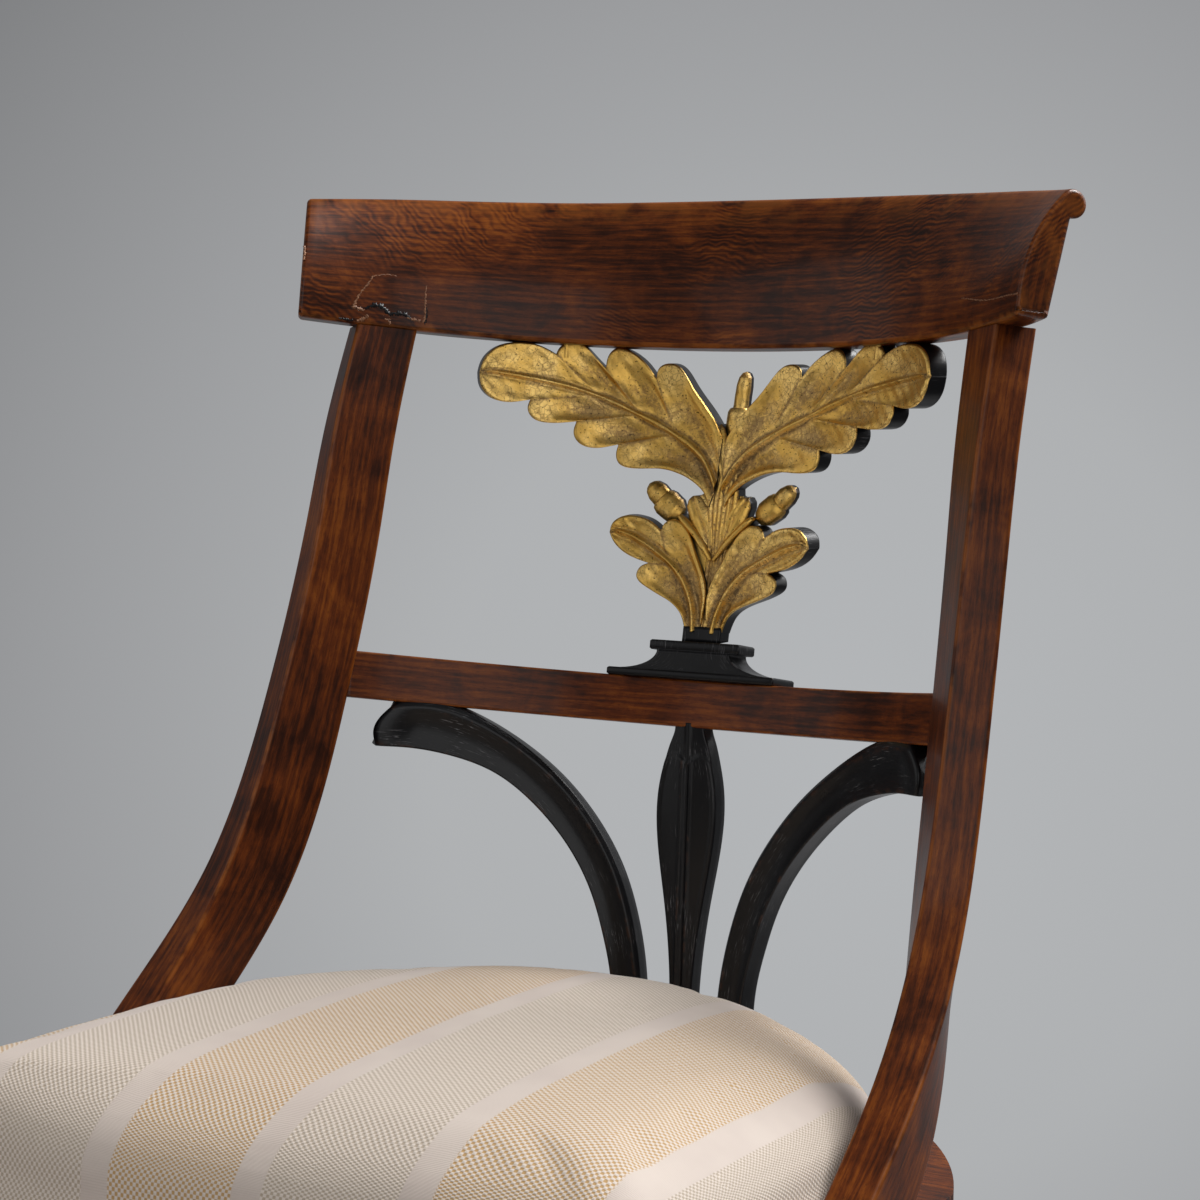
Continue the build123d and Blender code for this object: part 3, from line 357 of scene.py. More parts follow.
class NodeSheet:
    """Writer for the nodes of a material or a world."""

    def __init__(self, owner: bpy.types.Material | bpy.types.World) -> None:
        """Start with no nodes."""
        owner.use_nodes = True
        self.tree = owner.node_tree
        self.tree.nodes.clear()

    def node(self, kind: str, inputs: dict | None = None, **settings) -> bpy.types.Node:
        """Add a node.

        Args:
            kind: Blender's name of the node.
            inputs: Input sockets by name or number, with a value or the socket to link.
            settings: Properties of the node.

        Returns:
            The node.
        """
        made = self.tree.nodes.new(kind)
        for key, value in settings.items():
            setattr(made, key, value)
        for key, value in (inputs or {}).items():
            self.feed(made.inputs[key], value)
        return made

    def feed(self, socket: bpy.types.NodeSocket, value: object) -> None:
        """Link a socket to another, or set its value."""
        if isinstance(value, bpy.types.NodeSocket):
            self.tree.links.new(value, socket)
        elif socket.type == "RGBA" and len(value) == 3:
            socket.default_value = (*value, 1.0)
        else:
            socket.default_value = value

    def math(self, operation: str, first: object, second: object = 0.0) -> bpy.types.NodeSocket:
        """Result of a math node on two values or sockets."""
        return self.node("ShaderNodeMath", {0: first, 1: second}, operation=operation).outputs[0]

    def total(self, *terms: tuple[object, float]) -> bpy.types.NodeSocket:
        """Sum of values, each times its weight."""
        result = self.math("MULTIPLY", *terms[0])
        for value, weight in terms[1:]:
            result = self.math("ADD", result, self.math("MULTIPLY", value, weight))
        return result

    def mix(self, share: object, first: object, second: object) -> bpy.types.NodeSocket:
        """Mix of two colours."""
        made = self.node("ShaderNodeMix", {0: share, 6: first, 7: second}, data_type="RGBA")
        return made.outputs[2]

    def span(self, value: object, low: float, high: float) -> bpy.types.NodeSocket:
        """Rise from 0 to 1 while a value goes from low to high."""
        made = self.node("ShaderNodeMapRange", {"Value": value, "From Min": low, "From Max": high},
                         interpolation_type="SMOOTHSTEP")
        return made.outputs[0]

    def noise(self, vector: object, scale: float, detail: float = 3.0, roughness: float = 0.55,
              distortion: float = 0.0) -> bpy.types.NodeSocket:
        """Grey noise on a vector."""
        made = self.node("ShaderNodeTexNoise", {"Vector": vector, "Scale": scale, "Detail": detail,
                                                "Roughness": roughness, "Distortion": distortion})
        return made.outputs["Fac"]

    def ramp(self, value: object, stops: tuple[tuple[float, Colour], ...]) -> bpy.types.NodeSocket:
        """Colour that follows a value through stops."""
        made = self.node("ShaderNodeValToRGB", {"Fac": value})
        band = made.color_ramp
        while len(band.elements) < len(stops):
            band.elements.new(0.5)
        for element, (place, colour) in zip(band.elements, stops):
            element.position = place
            element.color = (*colour, 1.0)
        return made.outputs["Color"]

    def stretched(self, vector: object, scale: tuple[float, float, float]) -> bpy.types.NodeSocket:
        """A vector scaled axis by axis."""
        return self.node("ShaderNodeMapping", {"Vector": vector, "Scale": scale}).outputs[0]


class FinishSheet(NodeSheet):
    """Writer for the nodes of a material with one shader."""

    def __init__(self, name: str) -> None:
        """Start a material with an empty shader."""
        self.material = bpy.data.materials.new(name)
        super().__init__(self.material)
        self.shader = self.node("ShaderNodeBsdfPrincipled")
        self.node("ShaderNodeOutputMaterial", {"Surface": self.shader.outputs[0]})

    def object_coords(self) -> bpy.types.NodeSocket:
        """Place in the chair's frame, in metres."""
        return self.node("ShaderNodeTexCoord").outputs["Object"]

    def wear_and_shading(self) -> bpy.types.NodeSocket:
        """The piece's mark for rubbed arrises and ridges, painted highlight on polished arrises and painted
        shade in gilt hollows.
        """
        return self.node("ShaderNodeAttribute", attribute_name="wear_and_shading").outputs["Fac"]

    def bump(self, height: object, strength: float, distance: float) -> None:
        """Bump the shader's normal by a height."""
        made = self.node("ShaderNodeBump", {"Height": height, "Strength": strength, "Distance": distance})
        self.feed(self.shader.inputs["Normal"], made.outputs[0])

    def shade(self, **inputs: object) -> bpy.types.Material:
        """Feed the shader by the names of its inputs, with _ for a space, and give the material."""
        for key, value in inputs.items():
            self.feed(self.shader.inputs[key.replace("_", " ")], value)
        return self.material


class Grain(Enum):
    """Which way a wood's grain runs: along the piece's own UVs, or along an axis of the chair."""

    PIECE = "piece"
    ACROSS = "across"
    DEEP = "deep"
    UPRIGHT = "upright"


@dataclass(frozen=True)
class PolishedWood:
    """Reddish wood, darkened with age, under a glossy polish, lightened to orange on the arrises: partly
    rubbing, partly a painted highlight.
    """

    grain: Grain = Grain.PIECE
    darkest: Colour = (0.012, 0.0034, 0.0018)
    dark: Colour = (0.042, 0.0100, 0.0030)
    red: Colour = (0.122, 0.0260, 0.0038)
    orange: Colour = (0.260, 0.0680, 0.0070)
    rubbed_and_highlit: Colour = (0.320, 0.0920, 0.0120)
    # Arched growth lines: strength, middle of the arches in metres, stretch across and spacing
    arched: float = 0.0
    arch_middle: tuple[float, float, float] = (0.03, 0.0, 1.10)
    arch_stretch: float = 0.9
    arch_pitch: float = 0.0026

    def material(self) -> bpy.types.Material:
        """Mottled figure, fine broken grain, growth lines, dark patina, and arrises lightened to orange by
        rubbing and as a painted highlight.
        """
        sheet = FinishSheet(f"polished_wood_{self.grain.value}{'_arched' if self.arched else ''}")
        place = sheet.object_coords()
        if self.grain is Grain.PIECE:
            base = sheet.node("ShaderNodeUVMap", uv_map="UVMap").outputs[0]
            along = (0.09, 1.0, 1.0)
        else:
            base = place
            along = {Grain.ACROSS: (0.09, 1.0, 1.0), Grain.DEEP: (1.0, 0.09, 1.0),
                     Grain.UPRIGHT: (1.0, 1.0, 0.09)}[self.grain]
        lines = sheet.stretched(base, along)
        grain = sheet.noise(lines, 880.0, 4.0, 0.66)
        figure = sheet.noise(lines, 120.0, 4.0, 0.6, 1.6)
        growth = sheet.node("ShaderNodeTexWave", {
            "Vector": sheet.stretched(base, tuple(3 * x for x in along)), "Scale": 22.0, "Distortion": 9.0,
            "Detail": 3.0, "Detail Scale": 1.6}, bands_direction="Y").outputs["Fac"]
        mottle = sheet.noise(place, 38.0, 4.0, 0.62, 0.6)
        patina = sheet.noise(place, 9.0, 3.0, 0.6)
        tone = sheet.total((grain, 0.24), (figure, 0.24), (growth, 0.06), (mottle, 0.30), (patina, 0.30))
        if self.arched:
            tone = sheet.math("ADD", tone, self.arches(sheet, place))
        wood = sheet.ramp(tone, ((0.40, self.darkest), (0.50, self.dark), (0.59, self.red),
                                 (0.71, self.orange)))
        flecks = sheet.noise(sheet.stretched(base, tuple(2.5 * x for x in along)), 1000.0, 2.0)
        pores = sheet.math("MULTIPLY", sheet.span(flecks, 0.58, 0.70), 0.6)
        wood = sheet.mix(pores, wood, self.darkest)
        # Lighter orange on the arrises: partly rubbed-through polish, partly a painted highlight.
        rub_and_highlight = sheet.math("MULTIPLY", sheet.wear_and_shading(), sheet.span(sheet.noise(place, 60.0, 3.0), 0.34, 0.62))
        wood = sheet.mix(sheet.math("MULTIPLY", rub_and_highlight, 0.7), wood, self.rubbed_and_highlit)
        gloss = sheet.math("ADD", 0.26, sheet.math("MULTIPLY", mottle, 0.20))
        sheet.bump(sheet.total((grain, 1.0), (mottle, 2.0)), 0.10, 0.0006)
        return sheet.shade(Base_Color=wood, Roughness=gloss, Specular_IOR_Level=0.2, Coat_Weight=0.09,
                           Coat_Roughness=0.1)

    def arches(self, sheet: FinishSheet, place: bpy.types.NodeSocket) -> bpy.types.NodeSocket:
        """Fine growth lines in wide arches, stronger in patches.

        Args:
            sheet: The material in the making.
            place: Place in the chair's frame.

        Returns:
            What the lines add to the tone.
        """
        middle = tuple(-x for x in self.arch_middle)
        moved = sheet.node("ShaderNodeVectorMath", {0: place, 1: middle}, operation="ADD").outputs[0]
        flat = sheet.stretched(moved, (self.arch_stretch, 0.0, 1.0))
        reach = sheet.node("ShaderNodeVectorMath", {0: flat}, operation="LENGTH").outputs["Value"]
        wander = sheet.math("MULTIPLY", sheet.noise(place, 26.0, 3.0, 0.6), 0.022)
        turn = sheet.math("MULTIPLY", sheet.math("ADD", reach, wander), 2 * np.pi / self.arch_pitch)
        lines = sheet.math("MULTIPLY", sheet.math("SINE", turn), self.arched)
        return sheet.math("MULTIPLY", lines, sheet.span(sheet.noise(place, 14.0, 2.0), 0.40, 0.62))


@dataclass(frozen=True)
class EbonisedWood:
    """Black-stained wood, scuffed grey along its length and rubbed brown on its ridges."""

    black: Colour = (0.0045, 0.0046, 0.0056)
    scuff: Colour = (0.190, 0.190, 0.200)
    brown: Colour = (0.190, 0.070, 0.026)

    def material(self) -> bpy.types.Material:
        """Black with pale hair scratches along the piece in scattered patches, and brown rubbed ridges."""
        sheet = FinishSheet("ebonised_wood")
        base = sheet.node("ShaderNodeUVMap", uv_map="UVMap").outputs[0]
        place = sheet.object_coords()
        scratches = sheet.noise(sheet.stretched(base, (0.06, 1.0, 1.0)), 1700.0, 3.0, 0.6, 0.5)
        patches = sheet.noise(place, 30.0, 3.0, 0.62)
        marks = sheet.math("MULTIPLY", sheet.span(scratches, 0.57, 0.72), sheet.span(patches, 0.47, 0.66))
        tone = sheet.mix(marks, self.black, self.scuff)
        rub_and_highlight = sheet.math("MULTIPLY", sheet.wear_and_shading(), sheet.span(sheet.noise(place, 120.0, 3.0), 0.52, 0.64))
        tone = sheet.mix(sheet.math("MULTIPLY", rub_and_highlight, 0.16), tone, self.brown)
        gloss = sheet.math("ADD", 0.20, sheet.math("MULTIPLY", patches, 0.24))
        sheet.bump(sheet.total((scratches, 1.0), (patches, 2.0)), 0.14, 0.0005)
        return sheet.shade(Base_Color=tone, Roughness=gloss, Specular_IOR_Level=0.28, Coat_Weight=0.04,
                           Coat_Roughness=0.1)


@dataclass(frozen=True)
class GoldLeaf:
    """Old gold leaf on red bole, which shows through in patches, darkened in the hollows as painted shade and
    speckled with dirt.
    """

    gold: Colour = (0.760, 0.460, 0.105)
    pale: Colour = (0.940, 0.640, 0.210)
    bole: Colour = (0.170, 0.062, 0.020)
    dirt_and_shade: Colour = (0.030, 0.016, 0.007)

    def material(self) -> bpy.types.Material:
        """Gold with a wandering tone; bole shows through a fine crackle, and bole and near-black in the
        hollows are painted shade.
        """
        sheet = FinishSheet("gilt_wood")
        place = sheet.object_coords()
        cloud = sheet.noise(place, 48.0, 4.0, 0.6)
        fine = sheet.noise(place, 430.0, 5.0, 0.7, 0.6)
        cells = sheet.node("ShaderNodeTexVoronoi", {"Vector": place, "Scale": 300.0, "Randomness": 1.0},
                           feature="DISTANCE_TO_EDGE").outputs["Distance"]
        hollow = sheet.wear_and_shading()
        tone = sheet.mix(sheet.span(cloud, 0.38, 0.66), self.gold, self.pale)
        # Bole shows through where the noise is high and, as painted shade, in the hollows.
        bare_and_shaded = sheet.span(sheet.total((hollow, 0.30), (cloud, 0.28), (fine, 0.62)), 0.50, 0.68)
        tone = sheet.mix(sheet.math("MULTIPLY", bare_and_shaded, 0.5), tone, self.bole)
        crackle = sheet.math("MULTIPLY", sheet.span(cells, 0.10, 0.0), sheet.span(cloud, 0.42, 0.60))
        tone = sheet.mix(sheet.math("MULTIPLY", crackle, 0.5), tone, self.bole)
        # Near-black in the hollows: painted shade.
        deep = sheet.math("MULTIPLY", sheet.span(hollow, 0.45, 1.0), sheet.span(fine, 0.36, 0.60))
        tone = sheet.mix(sheet.math("MULTIPLY", deep, 0.75), tone, self.dirt_and_shade)
        specks = sheet.span(sheet.noise(place, 820.0, 2.0), 0.62, 0.72)
        tone = sheet.mix(specks, tone, self.dirt_and_shade)
        metal = sheet.math("SUBTRACT", 1.0, sheet.math("MULTIPLY", bare_and_shaded, 0.6))
        gloss = sheet.math("ADD", 0.26, sheet.math("MULTIPLY", fine, 0.26))
        sheet.bump(sheet.total((fine, 1.0), (cloud, 2.0)), 0.26, 0.0009)
        return sheet.shade(Base_Color=tone, Metallic=metal, Roughness=gloss)


@dataclass(frozen=True)
class StripedCloth:
    """Striped seat cloth: wide bands of a dotted weave in ochre or silver, parted by satin stripes."""

    pitch: float = 82.0
    first: float = 4.0
    satin: float = 15.0
    dot: float = 3.3
    cream: Colour = (0.82, 0.715, 0.625)
    ochre: Colour = (0.58, 0.355, 0.145)
    silver: Colour = (0.54, 0.435, 0.33)
    smooth: Colour = (0.67, 0.565, 0.50)

    def material(self) -> bpy.types.Material:
        """Bands across the cloth attribute's X, and dots on both its axes."""
        sheet = FinishSheet("striped_cloth")
        cloth = sheet.node("ShaderNodeAttribute", attribute_name="cloth").outputs["Vector"]
        axes = sheet.node("ShaderNodeSeparateXYZ", {0: cloth}).outputs
        across = sheet.math("DIVIDE", sheet.math("SUBTRACT", axes[0], self.first * MM), self.pitch * MM)
        wander = sheet.math("MULTIPLY", sheet.math("SUBTRACT", sheet.noise(cloth, 9.0, 2.0), 0.5), 0.03)
        across = sheet.math("ADD", across, wander)
        share = sheet.math("FRACT", sheet.math("ADD", across, 50.5))
        apart = sheet.math("ABSOLUTE", sheet.math("SUBTRACT", share, 0.5))
        half = self.satin / self.pitch / 2
        band = sheet.span(apart, half - 0.006, half + 0.006)
        turn = sheet.math("FRACT", sheet.math("MULTIPLY", sheet.math("ADD", across, 50.0), 0.5))
        ochre_band = sheet.math("GREATER_THAN", turn, 0.5)
        wave = 2 * np.pi / (self.dot * MM)
        columns = sheet.math("SINE", sheet.math("MULTIPLY", axes[0], wave))
        rows = sheet.math("SINE", sheet.math("MULTIPLY", axes[1], wave))
        dots = sheet.math("MULTIPLY", columns, rows)
        thread = sheet.mix(ochre_band, self.silver, self.ochre)
        weave = sheet.mix(sheet.span(dots, -0.40, 0.30), thread, self.cream)
        soft = sheet.noise(cloth, 14.0, 3.0)
        plain = sheet.mix(sheet.math("MULTIPLY", sheet.span(soft, 0.3, 0.7), 0.5), self.smooth, self.cream)
        tone = sheet.mix(band, plain, weave)
        ribs = sheet.math("SINE", sheet.math("MULTIPLY", axes[1], 3 * wave))
        height = sheet.math("ADD", sheet.math("MULTIPLY", dots, band), sheet.math("MULTIPLY", ribs, 0.15))
        sheet.bump(height, 0.35, 0.0006)
        return sheet.shade(Base_Color=tone, Roughness=0.72, Sheen_Weight=0.25, Sheen_Roughness=0.4)


@dataclass(frozen=True)
class PlainFinish:
    """Simple finish with a grain of its own: two tones mixed by a stretched noise."""

    name: str
    first: Colour
    second: Colour
    scale: tuple[float, float, float]
    rough: float
    metal: float = 0.0
    relief: float = 0.15

    def material(self) -> bpy.types.Material:
        """Two tones by noise on the chair's own frame, with a little bump."""
        sheet = FinishSheet(self.name)
        grain = sheet.noise(sheet.stretched(sheet.object_coords(), self.scale), 1.0, 4.0, 0.6)
        tone = sheet.mix(sheet.span(grain, 0.35, 0.65), self.first, self.second)
        sheet.bump(grain, self.relief, 0.0005)
        return sheet.shade(Base_Color=tone, Roughness=self.rough, Metallic=self.metal)


BEECH = PlainFinish("plain_beech", (0.36, 0.21, 0.10), (0.46, 0.29, 0.15), (420.0, 60.0, 420.0), 0.6)
STEEL = PlainFinish("steel", (0.30, 0.29, 0.28), (0.42, 0.41, 0.40), (300.0, 300.0, 300.0), 0.38, 1.0)
FELT = PlainFinish("felt", (0.05, 0.04, 0.035), (0.10, 0.085, 0.07), (900.0, 900.0, 900.0), 0.95, 0.0, 0.6)
JUTE = PlainFinish("webbing", (0.30, 0.22, 0.13), (0.44, 0.34, 0.21), (700.0, 700.0, 90.0), 0.85, 0.0, 0.5)
LINEN = PlainFinish("dust_cloth", (0.045, 0.042, 0.040), (0.085, 0.080, 0.075), (1100.0, 1100.0, 40.0), 0.9,
                    0.0, 0.4)
RAW = PlainFinish("raw_wood", (0.15, 0.055, 0.020), (0.36, 0.170, 0.085), (700.0, 700.0, 700.0), 0.6)


@dataclass
class Finishes:
    """The materials that the pieces share."""

    wood: bpy.types.Material = field(default_factory=PolishedWood().material)
    wood_arched: bpy.types.Material = field(default_factory=PolishedWood(arched=0.055).material)
    wood_across: bpy.types.Material = field(default_factory=PolishedWood(Grain.ACROSS).material)
    wood_deep: bpy.types.Material = field(default_factory=PolishedWood(Grain.DEEP).material)
    wood_upright: bpy.types.Material = field(default_factory=PolishedWood(Grain.UPRIGHT).material)
    black: bpy.types.Material = field(default_factory=EbonisedWood().material)
    gold: bpy.types.Material = field(default_factory=GoldLeaf().material)
    cloth: bpy.types.Material = field(default_factory=StripedCloth().material)
    beech: bpy.types.Material = field(default_factory=BEECH.material)
    steel: bpy.types.Material = field(default_factory=STEEL.material)
    felt: bpy.types.Material = field(default_factory=FELT.material)
    jute: bpy.types.Material = field(default_factory=JUTE.material)
    linen: bpy.types.Material = field(default_factory=LINEN.material)
    raw: bpy.types.Material = field(default_factory=RAW.material)


# Back of the chair


@dataclass(frozen=True)
class TopRail:
    """Curved crest rail: a concave board that flares back to a rolled lip."""

    radius: float = 255.0
    half_angle: float = 57.0
    rake: float = 8.0
    thick: float = 18.0
    centre_height: float = 92.0
    end_height: float = 69.0
    flare: float = 23.0
    lip: float = 7.5
    base: float = 815.0
    arris: float = 2.6
    stations: int = 150
    end_steps: int = 6
    # Point of the section, under its middle, at which the ends are folded
    fold: int = 7
    # How much taller the left and right ends are, and how askew they are cut about a depth
    end_lift: tuple[float, float] = (4.5, -1.5)
    end_skew: float = 0.4
    skew_depth: float = 15.0

    @property
    def lip_out(self) -> float:
        """How far back the lip's middle lies from the front face."""
        return self.flare + 0.75 * self.lip

    @property
    def back_y(self) -> float:
        """Place of the middle of the front's lower edge, from the rail's rear reach in the frame."""
        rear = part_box("top_rail")[1].y / MM
        lean = radians(self.rake)
        return rear - self.lip_out * np.cos(lean) - (self.centre_height - self.lip) * np.sin(lean) - self.lip

    def height_at(self, angle: Array) -> Array:
        """Height of the rail at angles from its middle, which falls off as the arc turns forward."""
        limit = radians(self.half_angle)
        fall = (1 - np.cos(angle)) / (1 - np.cos(limit))
        left, right = self.end_lift
        lift = left * smooth_step(-angle, 0.3, limit) + right * smooth_step(angle, 0.3, limit)
        return self.centre_height + (self.end_height - self.centre_height) * fall + lift

    def place(self, angle: Array, depth: Array, up: Array) -> Array:
        """Points of the rail in the chair's frame.

        Near the ends the sections turn away from the radius, because the ends are cut askew.

        Args:
            angle: Angle of the section from the rail's middle.
            depth: Distance behind the front's lower edge.
            up: Distance up the rail.

        Returns:
            Points in the chair's frame.
        """
        limit = radians(self.half_angle)
        reach = self.radius + depth
        near_end = smooth_step(np.abs(angle), limit - 0.3, limit)
        turn = angle - np.sign(angle) * self.end_skew * (depth - self.skew_depth) / reach * near_end
        local = np.stack(np.broadcast_arrays(reach * np.sin(turn), reach * np.cos(turn) - self.radius, up),
                         axis=-1)
        return turned_x(local, self.rake, (0.0, self.back_y, self.base))

    def front_circle(self, height: Array) -> tuple[Array, Array, Array]:
        """Circle of the front's section.

        It passes the foot, a point a fifth of the flare out at half height, and the start of the lip.

        Args:
            height: Height of the rail at each station.

        Returns:
            Its middle as (distance back, distance up), its radius, and the start of the lip.
        """
        zero = np.zeros(len(height))
        lip_start = np.stack([zero + self.lip_out - self.lip * np.sqrt(0.5),
                              height - self.lip * (1 - np.sqrt(0.5))], axis=1)
        half = np.stack([zero + self.flare * 0.2, height / 2], axis=1)
        cross = 2 * (half[:, 0] * lip_start[:, 1] - half[:, 1] * lip_start[:, 0])
        half_square = (half ** 2).sum(1)
        lip_square = (lip_start ** 2).sum(1)
        centre = np.stack([(lip_start[:, 1] * half_square - half[:, 1] * lip_square) / cross,
                           (half[:, 0] * lip_square - lip_start[:, 0] * half_square) / cross], axis=1)
        return centre, np.linalg.norm(centre, axis=1), lip_start

    def on_front(self, along: Array, up: Array, proud: float) -> Array:
        """Points over the front face.

        Args:
            along: Distance along the rail from its middle.
            up: Distance up the rail.
            proud: How far the points stand out of the wood.

        Returns:
            Points in the chair's frame.
        """
        angle = along / self.radius
        centre, round_front, _ = self.front_circle(self.height_at(angle))
        depth = centre[:, 0] - np.sqrt(round_front ** 2 - (up - centre[:, 1]) ** 2) - proud
        return self.place(angle, depth, up)

    def profile(self, height: Array) -> tuple[Array, Array]:
        """Cross-section at each height of the rail.

        The front is an arc, the lip is an arc about its own middle, and the back and underside are straight.

        Args:
            height: Height of the rail at each station.

        Returns:
            Points as (distance back, distance up), counter-clockwise seen from the right end, and marks on
            the arrises and lip for rubbing and painted highlight.
        """
        zero = np.zeros(len(height))
        centre, round_front, lip_start = self.front_circle(height)
        low = np.arctan2(-centre[:, 1], -centre[:, 0])
        high = np.arctan2(lip_start[:, 1] - centre[:, 1], lip_start[:, 0] - centre[:, 0])
        sweep = (high - low + np.pi) % (2 * np.pi) - np.pi
        front_angle = low[:, None] + sweep[:, None] * np.linspace(0.03, 1, 26)[None]
        front = centre[:, None] + round_front[:, None, None] * np.stack(
            [np.cos(front_angle), np.sin(front_angle)], axis=-1)
        lip_angle = np.radians(np.linspace(135, -100, 24))[1:]
        lip_middle = np.stack([zero + self.lip_out, height - self.lip], axis=1)
        lip = lip_middle[:, None] + self.lip * np.stack([np.cos(lip_angle), np.sin(lip_angle)], axis=-1)
        back_foot = np.stack([zero + self.thick, zero], axis=1)
        rise = np.linspace(0.04, 0.96, 24)[:, None]
        back = lip[:, -1:, :] + rise * (back_foot - lip[:, -1])[:, None]
        foot_corner = self._corner(back[:, -1], back_foot, self.thick * 0.25)
        under = back_foot[:, None] * np.array([0.7, 0.6, 0.5, 0.4, 0.3])[None, :, None]
        front_corner = self._corner(under[:, -1], zero[:, None] * np.ones(2), self.arris, front[:, 0])
        points = np.concatenate([front, lip, back, foot_corner, under, front_corner], axis=1)
        # Marks on the lip and the lower arrises, lightened to orange as rubbing and painted highlight.
        wear_and_shading = np.concatenate([np.zeros(20), np.linspace(0.1, 0.7, 6), np.linspace(0.8, 0.2, 23),
                               np.zeros(24), np.ones(5), np.zeros(5), np.ones(5)])
        return points[:, ::-1], wear_and_shading[::-1]

    @staticmethod
    def _corner(before: Array, corner: Array, reach: float, after: Array | None = None) -> Array:
        """Rounded corner between two runs.

        Args:
            before: Last point of the run before.
            corner: The sharp corner.
            reach: Where the rounding starts, from the corner.
            after: First point of the run after, or a level run to the front if left out.

        Returns:
            Five points of the quadratic round.
        """
        if after is None:
            after = corner - np.array([reach, 0.0])
        start = corner + (before - corner) * np.minimum(
            1, reach / np.linalg.norm(before - corner, axis=1, keepdims=True))
        end = corner + (after - corner) * np.minimum(
            1, reach / np.linalg.norm(after - corner, axis=1, keepdims=True))
        turn = np.linspace(0, 1, 5)[None, :, None]
        return ((1 - turn) ** 2 * start[:, None] + 2 * turn * (1 - turn) * corner[:, None]
                + turn ** 2 * end[:, None])

    def rings(self) -> tuple[Array, Array]:
        """Cross-sections along the rail's arc, drawn in at both ends to round them.

        Returns:
            Rings in the chair's frame, and wear marks.
        """
        limit = radians(self.half_angle)
        end = self.arris * (1 - np.sin(np.linspace(0, np.pi / 2, self.end_steps))) / self.radius
        inner = np.linspace(-limit, limit, self.stations)[2:-2]
        angle = np.sort(np.concatenate([end - limit, inner, limit - end]))
        draw = np.zeros(len(angle))
        near = np.minimum(angle + limit, limit - angle) * self.radius
        close = near < self.arris
        draw[close] = self.arris - np.sqrt(np.maximum(self.arris ** 2 - (self.arris - near[close]) ** 2, 0))
        profile, wear_and_shading = self.profile(self.height_at(angle))
        along = np.roll(profile, -1, axis=1) - np.roll(profile, 1, axis=1)
        along /= np.linalg.norm(along, axis=-1, keepdims=True)
        inward = np.stack([-along[..., 1], along[..., 0]], axis=-1)
        profile = profile + inward * draw[:, None, None]
        marks = np.maximum(wear_and_shading[None], smooth_step(draw, 0.0, self.arris)[:, None])
        return self.place(angle[:, None], profile[..., 0], profile[..., 1]), marks

    def make(self, finishes: Finishes) -> None:
        """Build the rail and put it in place of its solid."""
        shell = Shell()
        rings, marks = self.rings()
        shell.add_grid(rings, marks, ring=True)
        for end in (0, -1):
            shell.add_folded_end(rings[end], self.fold, 0.5)
        for crack in CRACKS:
            shell.add_closed(crack.rings(self), finish=2 if crack.gap else 1)
        piece = shell.build("crest_rail", [finishes.wood_arched, finishes.raw, finishes.black])
        settle(piece, FRAME_BODY, "polished_wood", "top_rail")


@dataclass(frozen=True)
class Crack:
    """Old break in the front of the top rail: a ragged ribbon of raw wood, or a dark gap."""

    # Each point: distance along the rail, distance up it, and half width
    points: tuple[tuple[float, float, float], ...]
    gap: bool = False
    step: float = 0.8
    lowest: float = 1.2

    def rings(self, rail: TopRail) -> Array:
        """Flat lens of a section carried along the ribbon, with its rear sunk into the wood.

        Args:
            rail: The rail that it lies on.

        Returns:
            Rings in the chair's frame.
        """
        length = chord_lengths(np.array(self.points)[:, :2])[-1]
        count = int(length / self.step) + 8
        line = curve_through(self.points, np.linspace(0, 1, count))
        step = np.arange(count)
        ragged = 0.7 + 0.3 * np.sin(2.4 * step) + 0.25 * np.sin(0.9 * step)
        half = np.maximum(line[:, 2:] * ragged[:, None], 0.1)
        way = np.gradient(line[:, :2], axis=0)
        way /= np.linalg.norm(way, axis=1, keepdims=True)
        side = np.stack([way[:, 1], -way[:, 0]], axis=1)
        middle = line[:, :2] + side * 0.35 * (np.sin(1.7 * step) * np.cos(0.53 * step))[:, None]
        lens = ((-1.0, 0.02), (0.0, 0.10), (1.0, 0.02), (0.0, -0.8))
        columns = []
        for share, proud in lens:
            place = middle + share * side * half
            columns.append(rail.on_front(place[:, 0], np.maximum(place[:, 1], self.lowest), proud))
        return np.stack(columns, axis=1)


